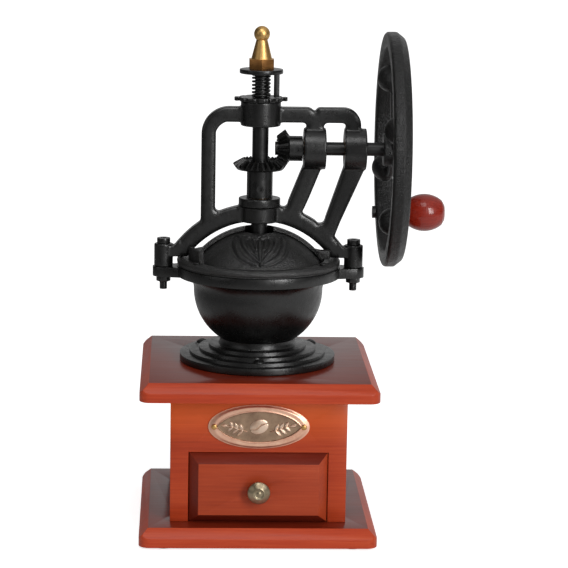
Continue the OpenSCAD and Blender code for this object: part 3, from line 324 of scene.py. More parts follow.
# Painted shade: the boards' upper faces take this much darker copy of the board wood, standing in
# for the shade under the bowl and yoke.
painted_shade_top_wood = wood(
    "painted_shade_top_wood", ((94, 26, 12), (112, 34, 16), (128, 44, 22)), seed=4.6, gloss=0.34, coat=0.35
)
# Painted shade: a darker copy of the drawer wood for the drawer's top, left and bottom bevels,
# standing in for the little light they catch.
painted_shade_bevel_wood = wood("painted_shade_bevel_wood", ((90, 24, 10), (104, 30, 14), (118, 38, 18)), seed=2.3, gloss=0.44)
plain_wood = wood(
    "plain_wood",
    ((160, 112, 70), (186, 140, 92), (206, 164, 116)),
    along="y",
    gloss=0.62,
    coat=0.0,
    seed=1.7,
)
grip_wood = wood(
    "grip_wood", ((118, 26, 12), (140, 34, 18), (156, 44, 24)), seed=9.4, gloss=0.26, coat=0.6
)
iron_smooth = iron("iron_smooth", 0.00004, 0.27)
iron_cast = iron("iron_cast", 0.00009, 0.29)
iron_sandy = iron("iron_sandy", 0.00055, 0.32, level=0.0025, shine=0.42)
iron_rough = iron("iron_rough", 0.00060, 0.36, level=0.010, shine=0.7)
dark_steel = metal("dark_steel", (0.055, 0.055, 0.055), 0.38)
burr_steel = metal("burr_steel", (0.42, 0.42, 0.43), 0.38)
bright_steel = metal("bright_steel", (0.52, 0.52, 0.53), 0.30)
brass = metal(
    "brass",
    linear(222, 180, 114),
    0.38,
    depth=0.000003,
    tarnish=linear(200, 156, 94),
    amount=0.4,
)
# A darker brass for the finial's hex.
dark_hex_brass = metal(
    "dark_hex_brass", linear(176, 126, 74), 0.36, depth=0.000008, tarnish=linear(128, 84, 46)
)
bronze = metal("bronze", linear(132, 100, 58), 0.40)
pewter = metal(
    "pewter",
    linear(172, 158, 132),
    0.34,
    marks=BRUSHED,
    tarnish=linear(110, 98, 76),
    amount=0.6,
)
copper = metal(
    "copper_plate",
    linear(252, 206, 178),
    0.42,
    marks=(300.0, 900.0, 2600.0),
    tarnish=linear(232, 176, 148),
    amount=0.45,
)
aged = metal(
    "aged_plate",
    linear(172, 146, 122),
    0.55,
    marks=(1400.0, 1400.0, 1400.0),
    tarnish=linear(132, 108, 90),
)
pale = metal(
    "pale_plate",
    linear(244, 216, 192),
    0.38,
    marks=BRUSHED,
    tarnish=linear(210, 176, 150),
    amount=0.4,
)
pad_rubber = rubber("pad_rubber")


# ---------------------------------------------------------------- mesh helpers

SHARP = math.radians(38)
FLAT = math.radians(0.5)
DOUBLE, WELD = 1e-6, 2e-6
CORNER_MOST = 0.45  # of a side, for each of its rounded corners
CORNER_STEPS = 3
BLOCK_SEGMENTS = 3
THREAD_SIDES = 6
CAST_SMOOTH = {"factor": 0.5, "iterations": 5}


def piece_from(name, mesh, material, *nodes, body=None, extra=()):
    """A finished piece, smooth but for sharp edges.

    It stands for the CAD nodes and rides on their body, or else on body.
    """
    mesh.shade_smooth()
    mesh.set_sharp_from_angle(angle=SHARP)
    mesh.materials.clear()
    for each in (material, *extra):
        mesh.materials.append(each)
    piece = bpy.data.objects.new(name, mesh)
    bpy.context.scene.collection.objects.link(piece)
    if nodes:
        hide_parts(*nodes)
    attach(piece, body or BODY[nodes[0]])
    return piece


def mesh_from(name, points, faces):
    """A mesh with its double points joined and its faces turned outwards."""
    mesh = bpy.data.meshes.new(name)
    mesh.from_pydata([tuple(p) for p in points], [], [tuple(f) for f in faces])
    bm = bmesh.new()
    bm.from_mesh(mesh)
    bmesh.ops.remove_doubles(bm, verts=bm.verts, dist=DOUBLE)
    bmesh.ops.recalc_face_normals(bm, faces=bm.faces)
    bm.to_mesh(mesh)
    bm.free()
    return mesh


def joined(name, *meshes):
    """One mesh from several."""
    bm = bmesh.new()
    for mesh in meshes:
        bm.from_mesh(mesh)
    out = bpy.data.meshes.new(name)
    bm.to_mesh(out)
    bm.free()
    return out


def modified(mesh, *modifiers):
    """mesh after modifiers, each as its kind and a dict of its settings."""
    holder = bpy.data.objects.new("holder", mesh)
    bpy.context.scene.collection.objects.link(holder)
    for kind, settings in modifiers:
        modifier = holder.modifiers.new(kind.lower(), kind)
        for key, value in settings.items():
            setattr(modifier, key, value)
    graph = bpy.context.evaluated_depsgraph_get()
    out = bpy.data.meshes.new_from_object(holder.evaluated_get(graph))
    bpy.data.objects.remove(holder)
    return out


def cad_mesh(node, weld):
    """The node's mesh with points nearer than weld joined and its flat faces whole again."""
    mesh = frame["nodes"][node].data.copy()
    bm = bmesh.new()
    bm.from_mesh(mesh)
    bmesh.ops.remove_doubles(bm, verts=bm.verts, dist=weld)
    bmesh.ops.dissolve_limit(bm, angle_limit=FLAT, verts=bm.verts, edges=bm.edges)
    bm.to_mesh(mesh)
    bm.free()
    return mesh


def eased(node, width, material, segments=2, angle=32, extra=(), weld=WELD):
    """The CAD node with its edges over angle rounded."""
    bevel = {
        "width": width,
        "segments": segments,
        "limit_method": "ANGLE",
        "angle_limit": math.radians(angle),
    }
    mesh = modified(cad_mesh(node, weld), ("BEVEL", bevel))
    return piece_from("soft_" + node, mesh, material, node, extra=extra)


def cast(node, voxel, keep, material, shape):
    """The CAD node as a sand casting: edges rounded and inner corners filled.

    shape is a function that works on the fine mesh, and keep the share of faces that stays.
    """
    mesh = modified(
        frame["nodes"][node].data.copy(),
        ("REMESH", {"mode": "VOXEL", "voxel_size": voxel, "adaptivity": 0.0}),
    )
    shape(mesh)
    mesh = modified(mesh, ("SMOOTH", CAST_SMOOTH), ("DECIMATE", {"ratio": keep}))
    piece = piece_from("cast_" + node, mesh, material, node)
    mesh.set_sharp_from_angle(angle=math.pi)
    return piece


def softened(outline, radius, closed=True):
    """outline with its corners rounded, or all but its ends where it isn't closed."""
    points = [Vector(p) for p in outline]
    out = []
    count = len(points)
    for i, p in enumerate(points):
        if not closed and i in (0, count - 1):
            out.append(p)
            continue
        before, after = points[i - 1], points[(i + 1) % count]
        a = min(radius, (before - p).length * CORNER_MOST)
        b = min(radius, (after - p).length * CORNER_MOST)
        start = p + (before - p).normalized() * a
        end = p + (after - p).normalized() * b
        for k in range(CORNER_STEPS + 1):
            t = k / CORNER_STEPS
            out.append(start * (1 - t) ** 2 + p * 2 * t * (1 - t) + end * t**2)
    return out


def box_outline(low, high):
    """The four corners of an upright box between two (radius, height) points."""
    (r1, h1), (r2, h2) = low, high
    return [(r1, h1), (r2, h1), (r2, h2), (r1, h2)]


def lofted(name, points, count, closed):
    """A mesh over rings of count points each, joined up when closed and capped when not."""
    rings = len(points) // count
    faces = []
    for i in range(rings if closed else rings - 1):
        a, b = i * count, (i + 1) % rings * count
        for j in range(count):
            k = (j + 1) % count
            faces.append((a + j, b + j, b + k, a + k))
    if not closed:
        faces.append(tuple(range(count)))
        faces.append(tuple(range((rings - 1) * count, rings * count))[::-1])
    return mesh_from(name, points, faces)


TURNS = {"z": Matrix.Identity(4), "-y": Matrix.Rotation(math.pi / 2, 4, "X")}


def turned(profile, origin, axis="z", segments=96, start=0.0, end=360.0):
    """A solid of revolution from a closed outline of (radius, height) points, about an axis.

    A turn of less than 360 degrees has flat ends.
    """
    full = end - start >= 360.0
    turn = Matrix.Translation(origin) @ TURNS[axis]
    points = []
    for i in range(segments if full else segments + 1):
        a = math.radians(start + (end - start) * i / segments)
        points += [turn @ Vector((r * math.cos(a), r * math.sin(a), h)) for r, h in profile]
    return lofted("turned", points, len(profile), full)


def tube(path, radius, sides):
    """A round wire along path, with closed ends."""
    points, faces = [], []
    side = None
    for i, p in enumerate(path):
        ahead = (path[min(i + 1, len(path) - 1)] - path[max(i - 1, 0)]).normalized()
        side = side or ahead.orthogonal()
        side = (side - ahead * side.dot(ahead)).normalized()
        up = ahead.cross(side)
        for k in range(sides):
            a = 2 * math.pi * k / sides
            points.append(p + radius * (side * math.cos(a) + up * math.sin(a)))
    for i in range(len(path) - 1):
        a, b = i * sides, (i + 1) * sides
        for k in range(sides):
            m = (k + 1) % sides
            faces.append((a + k, a + m, b + m, b + k))
    faces.append(tuple(range(sides))[::-1])
    faces.append(tuple(range((len(path) - 1) * sides, len(path) * sides)))
    return mesh_from("tube", points, faces)


def coil(x, radius, low, high, turns, flat_ends=0.0, step=20):
    """Points of an upright helix around x, every step degrees.

    flat_ends is the share of a turn that lies flat at each end.
    """
    count = int(turns * 360 / step)
    points = []
    for i in range(count + 1):
        turn = turns * (i / count)
        rise = min(1.0, max(0.0, (turn - flat_ends) / (turns - 2 * flat_ends)))
        a = 2 * math.pi * turn
        spot = Vector((radius * math.cos(a), radius * math.sin(a), low + (high - low) * rise))
        points.append(Vector((x, 0, 0)) + spot)
    return points


def thread(x, radius, low, high, pitch, wire):
    """A screw thread as a coil laid round a shank."""
    return tube(coil(x, radius, low, high, (high - low) / pitch), wire, THREAD_SIDES)


def block(low, high, ease):
    """A small block with rounded edges."""
    corners = [(x, y, z) for x in (low.x, high.x) for y in (low.y, high.y) for z in (low.z, high.z)]
    faces = [(0, 1, 3, 2), (4, 6, 7, 5), (0, 4, 5, 1), (2, 3, 7, 6), (0, 2, 6, 4), (1, 5, 7, 3)]
    mesh = mesh_from("block", corners, faces)
    bevel = {"width": ease, "segments": BLOCK_SEGMENTS, "limit_method": "NONE"}
    return modified(mesh, ("BEVEL", bevel))


def scaled(shape, radius, length):
    """An outline given in shares of a radius and a length."""
    return [(r * radius, h * length) for r, h in shape]


# ---------------------------------------------------------------- wooden box and drawer

BOARD_EASE = 0.9 * MM
EDGE_EASE = 0.5 * MM
PAD_EASE = 0.4 * MM
BOX_ANGLE = 25
BOARD_TOP = 0.95  # least z of the normal of a board's upper face, which is painted darker as shade
BEVEL_TILT = (-0.97, -0.3)  # y of the normals of the drawer's bevels
BEVEL_LIT = 0.3  # least x of the normal of the bevel at the right, which faces the key lamp and keeps the field's colour instead of the painted shade

for node in ("top_board", "bottom_board"):
    board = eased(node, BOARD_EASE, board_wood, segments=3, angle=BOX_ANGLE, extra=(painted_shade_top_wood,))
    # Upper faces take the darker wood of the painted shade.
    for face in board.data.polygons:
        face.material_index = int(face.normal.z > BOARD_TOP)
eased("front_panel", EDGE_EASE, body_wood, angle=BOX_ANGLE)
eased("left_wall", EDGE_EASE, side_wood, angle=BOX_ANGLE)
eased("right_wall", EDGE_EASE, side_wood, angle=BOX_ANGLE)
eased("back_wall", EDGE_EASE, body_wood, angle=BOX_ANGLE)
drawer = eased("drawer_front", EDGE_EASE, front_wood, angle=BOX_ANGLE, extra=(painted_shade_bevel_wood,))
# The top, left and bottom bevels take the painted shade; the right one, lit by the key lamp, does
# not.
for face in drawer.data.polygons:
    x, y, _ = face.normal
    face.material_index = int(BEVEL_TILT[0] < y < BEVEL_TILT[1] and x < BEVEL_LIT)
for node in (
    "drawer_left_side",
    "drawer_right_side",
    "drawer_back",
    "drawer_bottom",
    "drawer_runners",
):
    eased(node, EDGE_EASE, plain_wood)
eased("foot_pads", PAD_EASE, pad_rubber, segments=3)

# The drawer knob: a short stem under a low cone with a small dimple in its tip, as shares of the
# knob's radius and length.
KNOB_SHAPE = (
    (0.0, 0.0),
    (0.74, 0.0),
    (0.74, 0.09),
    (0.46, 0.20),
    (0.46, 0.42),
    (0.90, 0.60),
    (1.0, 0.68),
    (0.96, 0.76),
    (0.52, 0.97),
    (0.44, 0.99),
    (0.36, 0.93),
    (0.20, 0.93),
    (0.12, 0.96),
    (0.0, 0.97),
)
KNOB_EASE, KNOB_SEGMENTS = 0.45 * MM, 72

knob_low, knob_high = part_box("drawer_knob")
knob_mid = centre("drawer_knob")
knob_shape = scaled(KNOB_SHAPE, (knob_high.x - knob_low.x) / 2, knob_high.y - knob_low.y)
knob_mesh = turned(
    softened(knob_shape, KNOB_EASE, closed=False),
    Vector((knob_mid.x, knob_high.y, knob_mid.z)),
    "-y",
    KNOB_SEGMENTS,
)
piece_from("turned_drawer_knob", knob_mesh, pewter, "drawer_knob")


# ---------------------------------------------------------------- relief

CURVE_STEPS = 10


def smooth(t):
    """A soft step from 0 to 1."""
    t = np.clip(t, 0.0, 1.0)
    return t * t * (3 - 2 * t)


def along_stroke(x, y, stroke):
    """Distance from each point to a polyline, and where its nearest place lies, from 0 to 1."""
    best = np.full(x.shape, 1e9)
    place = np.zeros(x.shape)
    lengths = [math.dist(a, b) for a, b in zip(stroke, stroke[1:])]
    total, gone = sum(lengths), 0.0
    for (ax, ay), (bx, by), length in zip(stroke, stroke[1:], lengths):
        t = ((x - ax) * (bx - ax) + (y - ay) * (by - ay)) / max(length**2, 1e-12)
        t = np.clip(t, 0, 1)
        d = np.hypot(x - ax - t * (bx - ax), y - ay - t * (by - ay))
        nearer = d < best
        best = np.where(nearer, d, best)
        place = np.where(nearer, (gone + t * length) / total, place)
        gone += length
    return best, place


def curve_points(*points):
    """A smooth line through points, as a Catmull-Rom spline."""
    p = [points[0], *points, points[-1]]
    out = []
    for i in range(1, len(p) - 2):
        for k in range(CURVE_STEPS):
            t = k / CURVE_STEPS
            out.append(
                tuple(
                    0.5
                    * (
                        2 * b
                        + (c - a) * t
                        + (2 * a - 5 * b + 4 * c - d) * t**2
                        + (3 * b - a - 3 * c + d) * t**3
                    )
                    for a, b, c, d in zip(*p[i - 1 : i + 3])
                )
            )
    out.append(points[-1])
    return out


# ---------------------------------------------------------------- nameplate

plate_low, plate_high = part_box("nameplate")
plate_mid = centre("nameplate")
PLATE_HALF_W = (plate_high.x - plate_low.x) / 2
PLATE_HALF_H = (plate_high.z - plate_low.z) / 2
PLATE_T = plate_high.y - plate_low.y
RIM_EDGE, RIM_RISE = 0.45, 0.55  # of the plate's thickness
RIM_ROUND = 1.5 * MM
FIELD_HALF_W = 0.825 * PLATE_HALF_W
FIELD_HALF_H = 0.71 * PLATE_HALF_H
FIELD_POWER = 0.68
FIELD_DEPTH = 0.55 * MM
FIELD_EDGE = 0.45 * MM
BEAD_OUT, BEAD_W = 0.15 * MM, 0.42 * MM
BEAD_RISE = 0.22  # mm
RELIEF = 0.55 * MM
IN_FIELD, IN_RELIEF = 0.6, 0.22
PLATE_RINGS, PLATE_AROUND = 84, 360

# The ornament, in mm from the plate's middle.
STEM = ((6.5, -2.6), (10.5, -1.6), (15.0, 0.2), (19.0, 0.6))
STEM_HALF_W, STEM_RISE = 0.38, 0.8
LEAF_PAIRS = ((8.6, -2.1, 3.6), (11.4, -1.2, 3.4), (14.2, -0.1, 2.9))  # root and reach
UPPER_LEAN, UPPER_LEAF_W = 0.55, 1.9
LOWER_LEAN, LOWER_DROP, LOWER_LEAF_W = 0.95, 0.8, 1.8
END_LEAF = ((16.8, 0.4), (20.4, 0.8))
LEAF_ENDS, LEAF_POINTED, LEAF_CROWN = (0.02, 0.98), 0.8, 0.6
VEIN_DEPTH, VEIN_HALF_W = 0.35, 0.12
BEAN_HALF_L, BEAN_HALF_W = 5.2, 3.9
BEAN_TILT = math.radians(24)
GROOVE_BEND, GROOVE_WAVE, GROOVE_HALF_W, GROOVE_DEPTH = 0.55, 0.75, 0.55, 0.75


def leaf(x, y, root, tip, width):
    """Height, from 0 to 1, of a pointed leaf with a vein."""
    d, t = along_stroke(x, y, [root, tip])
    half = width / 2 * np.sin(np.pi * np.clip(t, *LEAF_ENDS)) ** LEAF_POINTED
    body = smooth(1 - d / np.maximum(half, 1e-6))
    vein = VEIN_DEPTH * smooth(1 - d / (VEIN_HALF_W * width))
    return np.clip(body**LEAF_CROWN - vein * (body > 0), 0, 1)


def sprig(x, y, side):
    """A stem with pairs of leaves, growing outwards from the middle of the plate."""
    stem = curve_points(*((side * sx, sy) for sx, sy in STEM))
    d, _ = along_stroke(x, y, stem)
    height = STEM_RISE * smooth(1 - d / STEM_HALF_W)
    for sx, sy, reach in LEAF_PAIRS:
        upper = (side * (sx + UPPER_LEAN * reach), sy + reach)
        lower = (side * (sx + LOWER_LEAN * reach), sy - LOWER_DROP * reach)
        height = np.maximum(height, leaf(x, y, (side * sx, sy), upper, UPPER_LEAF_W))
        height = np.maximum(height, leaf(x, y, (side * sx, sy), lower, LOWER_LEAF_W))
    root, tip = ((side * sx, sy) for sx, sy in END_LEAF)
    return np.maximum(height, leaf(x, y, root, tip, LOWER_LEAF_W))


def bean(x, y):
    """A coffee bean with its curved groove."""
    u = x * math.cos(BEAN_TILT) + y * math.sin(BEAN_TILT)
    v = -x * math.sin(BEAN_TILT) + y * math.cos(BEAN_TILT)
    body = np.sqrt(np.clip(1 - (u / BEAN_HALF_L) ** 2 - (v / BEAN_HALF_W) ** 2, 0, 1))
    groove = smooth(1 - np.abs(v - GROOVE_BEND * np.sin(u * GROOVE_WAVE)) / GROOVE_HALF_W)
    return body * (1 - GROOVE_DEPTH * groove)


def plate_height(x, y):
    """Height of the plate's front at x, y from its middle, and 0 on its rim, 1 in its field and
    2 on its relief."""
    edge = 1 - np.hypot(x / PLATE_HALF_W, y / PLATE_HALF_H)
    rim = PLATE_T * (RIM_EDGE + RIM_RISE * smooth(edge * PLATE_HALF_H / RIM_ROUND))
    bulge = np.clip(1 - (x / FIELD_HALF_W) ** 2, 0, 1) ** FIELD_POWER
    inward = np.where(np.abs(x) > FIELD_HALF_W, -1.0, FIELD_HALF_H * bulge - np.abs(y))
    sink = smooth(inward / FIELD_EDGE)
    bead = np.exp(-(((inward + BEAD_OUT) / BEAD_W) ** 2)) * BEAD_RISE * MM
    x_mm, y_mm = x / MM, y / MM
    sprigs = np.maximum(sprig(x_mm, y_mm, 1), sprig(x_mm, y_mm, -1))
    relief = np.maximum(bean(x_mm, y_mm), sprigs)
    height = rim - FIELD_DEPTH * sink + bead + RELIEF * relief * sink
    kind = np.where(sink > IN_FIELD, np.where(relief < IN_RELIEF, 1, 2), 0)
    return height, kind


def plate_mesh():
    """The plate's mesh and the kind of each of its faces."""
    around = PLATE_AROUND
    radii = np.arange(1, PLATE_RINGS + 1) / PLATE_RINGS
    angles = np.linspace(0, 2 * math.pi, around, endpoint=False)
    rr, aa = np.meshgrid(radii, angles, indexing="ij")
    x, z = PLATE_HALF_W * rr * np.cos(aa), PLATE_HALF_H * rr * np.sin(aa)
    height, kind = plate_height(x, z)
    top, _ = plate_height(np.zeros(1), np.zeros(1))
    back = plate_high.y

    def ring(row, depth):
        """Points of one ring of the grid, depth being how far each lies before the back."""
        return [
            (plate_mid.x + x[row, j], back - depth[j], plate_mid.z + z[row, j])
            for j in range(around)
        ]

    points = [(plate_mid.x, back - float(top[0]), plate_mid.z)]
    for i in range(PLATE_RINGS):
        points += ring(i, height[i])
    points += ring(-1, np.zeros(around))
    faces, kinds = [], []
    for j in range(around):
        faces.append((0, 1 + j, 1 + (j + 1) % around))
        kinds.append(int(kind[0, j]))
    for i in range(PLATE_RINGS):
        a, b = 1 + i * around, 1 + (i + 1) * around
        for j in range(around):
            k = (j + 1) % around
            faces.append((a + j, b + j, b + k, a + k))
            kinds.append(int(kind[i, j]) if i < PLATE_RINGS - 1 else 0)
    faces.append(tuple(range(len(points) - around, len(points))))
    kinds.append(0)
    mesh = bpy.data.meshes.new("nameplate")
    mesh.from_pydata(points, [], faces)
    return mesh, kinds


oval_mesh, oval_kinds = plate_mesh()
piece_from("relief_nameplate", oval_mesh, copper, "nameplate", extra=(aged, pale))
oval_mesh.polygons.foreach_set("material_index", oval_kinds)

# A nail's head, as shares of its radius and heights in mm.
NAIL_HEAD = ((0.0, 0.0), (1.0, 0.0), (1.0, 0.25), (0.75, 0.62), (0.35, 0.78), (0.0, 0.8))
NAIL_EASE, NAIL_SEGMENTS = 0.2 * MM, 32

nail_low, nail_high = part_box("nameplate_nails")
nail_r = (nail_high.z - nail_low.z) / 2
nail_head = softened(scaled(NAIL_HEAD, nail_r, MM), NAIL_EASE, closed=False)
nail_meshes = []
for side in (-1, 1):
    x = plate_mid.x + side * ((nail_high.x - nail_low.x) / 2 - nail_r)
    nail_meshes.append(turned(nail_head, (x, plate_low.y, plate_mid.z), "-y", NAIL_SEGMENTS))
piece_from("nail_heads", joined("nail_heads", *nail_meshes), brass, "nameplate_nails")


# ---------------------------------------------------------------- bowl

BOWL_EASE, BOWL_ANGLE = 0.45 * MM, 28
SCREW_EASE = 0.2 * MM

eased("bowl", BOWL_EASE, iron_cast, angle=BOWL_ANGLE)
eased("bowl_screws", SCREW_EASE, iron_smooth)


# ---------------------------------------------------------------- dome

DOME_R, SLIDE_R = 45.0 * MM, 42.5 * MM  # outside of the fixed and of the sliding half
DOME_DROP = 22.9 * MM  # of their middle under the rim
SHELL_T = 2.0 * MM
EYE_R = 8.0 * MM
OUTER_ROWS, INNER_ROWS = 110, 16
FINE_STEP, COARSE_STEP = 0.55, 2.0
LEAF_SPREAD = 42.0
FOOT_FADE, EYE_FADE = 0.06, 0.04
RELIEF_HIGH = 0.40 * MM
RELIEF_DEEP = 0.80 * MM
FRONT_SIDE = 0.2  # least cosine of the angle off the ornament's middle
LAP = 8.0  # degrees of the sliding half under the fixed one

LINE_END, LINE_SWELL = 0.55, 0.45
RIDGE_W, GROOVE_OFF, GROOVE_W = 1.5, 2.2, 1.3  # in half widths of a line
# Half of the leaf ornament: lines in mm across and up the dome, with their half widths.
LEAF_LINES = (
    (((12.4, 51.0), (13.4, 45.0), (11.6, 38.4), (7.6, 34.4), (2.2, 31.6)), 1.15),
    (
        ((1.2, 53.0), (5.6, 55.0), (8.6, 51.2), (8.6, 46.5), (6.8, 41.5), (3.6, 36.6), (1.0, 33.2)),
        1.05,
    ),
    (((5.2, 51.4), (6.0, 48.2), (5.0, 44.0), (3.0, 40.0)), 0.8),
    (((2.5, 50.6), (3.2, 47.2), (2.2, 43.0)), 0.7),
    (((0.0, 53.5), (0.5, 46.0), (0.3, 38.0), (0.0, 31.0)), 0.7),
)


def leaf_relief(x, y):
    """Height of the ornament over the dome's surface: ridges with a groove beside each."""
    height = np.zeros(x.shape)
    groove = np.zeros(x.shape)
    for side in (1, -1):
        for line, width in LEAF_LINES:
            stroke = [(side * sx, sy) for sx, sy in curve_points(*line)]
            d, t = along_stroke(x, y, stroke)
            w = width * (LINE_END + LINE_SWELL * np.sin(np.pi * np.clip(t, 0.0, 1.0)))
            height = np.maximum(height, smooth(1 - d / (RIDGE_W * w)))
            beside = np.abs(d - GROOVE_OFF * w) / (GROOVE_W * w)
            groove = np.maximum(groove, smooth(1 - beside))
    return RELIEF_HIGH * height - RELIEF_DEEP * groove * (1 - height)


def dome_mesh(radius, foot_z, start, end, facing):
    """A shell of the dome from azimuth start to end, with the leaf ornament facing one azimuth."""
    middle_z = rim_z - DOME_DROP
    azimuths = [start]
    while azimuths[-1] < end - 1e-6:
        near = abs(azimuths[-1] - facing) < LEAF_SPREAD
        azimuths.append(min(end, azimuths[-1] + (FINE_STEP if near else COARSE_STEP)))
    azimuths = np.radians(np.array(azimuths))

    def span(r):
        """Angles over the horizon of the shell's foot and of its eye, at radius r."""
        return math.asin((foot_z - middle_z) / r), math.acos(EYE_R / r)

    def shell(r, aa, ee):
        flat = r * np.cos(ee)
        return np.stack([flat * np.cos(aa), flat * np.sin(aa), middle_z + r * np.sin(ee)], -1)

    low, high = span(radius)
    aa, ee = np.meshgrid(azimuths, np.linspace(low, high, OUTER_ROWS), indexing="ij")
    across = radius / MM * np.cos(ee) * np.sin(aa - math.radians(facing))
    front = np.cos(aa - math.radians(facing)) > FRONT_SIDE
    lift = np.where(front, leaf_relief(across, radius / MM * ee), 0.0)
    fade = smooth((ee - low) / FOOT_FADE) * smooth((high - ee) / EYE_FADE)
    outer = shell(radius + lift * fade, aa, ee)
    low, high = span(radius - SHELL_T)
    aa, ee = np.meshgrid(azimuths, np.linspace(high, low, INNER_ROWS), indexing="ij")
    inner = shell(radius - SHELL_T, aa, ee)
    loops = np.concatenate([outer, inner], 1)
    return lofted("dome", loops.reshape(-1, 3), loops.shape[1], closed=False)


# The ring under the fixed half.
FIXED_FOOT = 1.8 * MM  # over the rim
RING_T = 4.5 * MM
RING_BORE_R = 36.6 * MM
RING_BORE_DROP = 0.7 * MM
RING_EASE = 0.6 * MM
# The sliding half's foot, the lip round it and the tab to push it by.
SLIDE_FOOT = 0.3 * MM
MOUTH_R = 32.0 * MM
LIP_IN, LIP_OUT = 0.9 * MM, 6.4 * MM  # outside the mouth
LIP_T, LIP_EASE = 1.2 * MM, 0.3 * MM
TAB_R, TAB_HALF_W, TAB_RISE = (33.5 * MM, 40.2 * MM), 2.0 * MM, (0.4 * MM, 5.5 * MM)
TAB_TURN = -12
# The lug that stops the sliding half.
STOP_R, STOP_RISE = (36.8 * MM, 39.7 * MM), (-1.5 * MM, 6.5 * MM)
STOP_START, STOP_TURN = 189.5, 23.5
SMALL_EASE = 0.8 * MM
COVER_SCREW_EASE = 0.15 * MM
RING_SEGMENTS, STOP_SEGMENTS, LIP_SEGMENTS = 160, 20, 98

ring_top = rim_z + RING_T
ring_step = rim_z + FIXED_FOOT
ring_section = [
    (rim_r - 6.7 * MM, ring_step),
    (rim_r - 6.7 * MM, rim_z),
    (rim_r - 0.6 * MM, rim_z),
    (rim_r - 0.6 * MM, rim_z + 1.1 * MM),
    (rim_r, rim_z + 1.5 * MM),
    (rim_r, rim_z + 3.2 * MM),
    (rim_r - 1.6 * MM, ring_top),
    (rim_r - 3.2 * MM, ring_top),
    (rim_r - 4.0 * MM, ring_top - RING_BORE_DROP),
    (RING_BORE_R, ring_top - RING_BORE_DROP),
    (RING_BORE_R, ring_step),
]
stop_section = box_outline(
    (STOP_R[0], ring_top + STOP_RISE[0]), (STOP_R[1], ring_top + STOP_RISE[1])
)
fixed_mesh = joined(
    "fixed_cover",
    dome_mesh(DOME_R, ring_step, 0.0, 180.0, 90.0),
    turned(softened(ring_section, RING_EASE), (0, 0, 0), segments=RING_SEGMENTS),
    turned(
        softened(stop_section, SMALL_EASE),
        (0, 0, 0),
        segments=STOP_SEGMENTS,
        start=STOP_START,
        end=STOP_START + STOP_TURN,
    ),
)
piece_from("relief_fixed_cover", fixed_mesh, iron_rough, "fixed_cover")

slide_foot = rim_z + SLIDE_FOOT
lip_section = box_outline((MOUTH_R + LIP_IN, slide_foot), (MOUTH_R + LIP_OUT, slide_foot + LIP_T))
tab_mesh = block(
    Vector((TAB_R[0], -TAB_HALF_W, ring_top + TAB_RISE[0])),
    Vector((TAB_R[1], TAB_HALF_W, ring_top + TAB_RISE[1])),
    SMALL_EASE,
)
tab_mesh.transform(Matrix.Rotation(math.radians(TAB_TURN), 4, "Z"))
slide_mesh = joined(
    "sliding_cover",
    dome_mesh(SLIDE_R, slide_foot, -180.0 - LAP, LAP, -90.0),
    turned(
        softened(lip_section, LIP_EASE),
        (0, 0, 0),
        segments=LIP_SEGMENTS,
        start=-180.0 - LAP,
        end=LAP,
    ),
    tab_mesh,
)
piece_from("relief_sliding_cover", slide_mesh, iron_rough, "sliding_cover")
eased("cover_screws", COVER_SCREW_EASE, dark_steel)


# ---------------------------------------------------------------- yoke and hand wheel

YOKE_HALF_T = 4.25 * MM
CROWN_REACH = 3.4 * MM
CROWN_DROP = 1.35 * MM
HUB_CLEAR = 12.2 * MM
BOSSES = ((23.6 * MM, 36.8 * MM), (46.1 * MM, 59.2 * MM))
BOSS_CLEAR = 11.8 * MM
FOOT_X, FOOT_Z = 44.0 * MM, 160.0 * MM
PROUD, WALL_INSET, CROWN_MARGIN = 0.2 * MM, 0.6 * MM, 0.1 * MM
WALL_TILT = 0.3
RIM_CROWN = 1.6 * MM
RIM_FLAT = 0.25  # of the rim's half width
YOKE_VOXEL, YOKE_KEEP = 0.5 * MM, 0.42
WHEEL_VOXEL, WHEEL_KEEP = 0.6 * MM, 0.45
CLAMP_EASE = 0.3 * MM

wheel_low, wheel_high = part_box("hand_wheel")
wheel_r = (wheel_high.z - wheel_low.z) / 2
rim_half_w = (wheel_high.x - wheel_low.x) / 2


def crowned(mesh):
    """Rounds the yoke's flat front and back down towards its outline, but not its hubs, bosses
    and feet."""
    count = len(mesh.vertices)
    place, facing = np.empty(count * 3), np.empty(count * 3)
    mesh.vertices.foreach_get("co", place)
    mesh.vertices.foreach_get("normal", facing)
    place, facing = place.reshape(-1, 3), facing.reshape(-1, 3)
    x, y, z = place.T
    out = np.abs(y)
    free = (np.abs(x) > HUB_CLEAR) & (out < YOKE_HALF_T + PROUD)
    free &= ~((np.abs(x) > FOOT_X) & (z < FOOT_Z))
    for low, high in BOSSES:
        free &= ~((x > low) & (x < high) & (np.abs(z - crank_z) < BOSS_CLEAR))
    wall = free & (np.abs(facing[:, 1]) < WALL_TILT) & (out < YOKE_HALF_T - WALL_INSET)
    tree = KDTree(int(wall.sum()))
    for i, (px, pz) in enumerate(zip(x[wall], z[wall])):
        tree.insert((px, 0.0, pz), i)
    tree.balance()
    for i in np.nonzero(free & (out > YOKE_HALF_T - CROWN_DROP - CROWN_MARGIN))[0]:
        near = min(1.0, tree.find((x[i], 0.0, z[i]))[2] / CROWN_REACH)
        limit = YOKE_HALF_T - CROWN_DROP * (1 - math.sqrt(1 - (1 - near) ** 2))
        y[i] = math.copysign(min(abs(y[i]), limit), y[i])
    mesh.vertices.foreach_set("co", place.ravel())


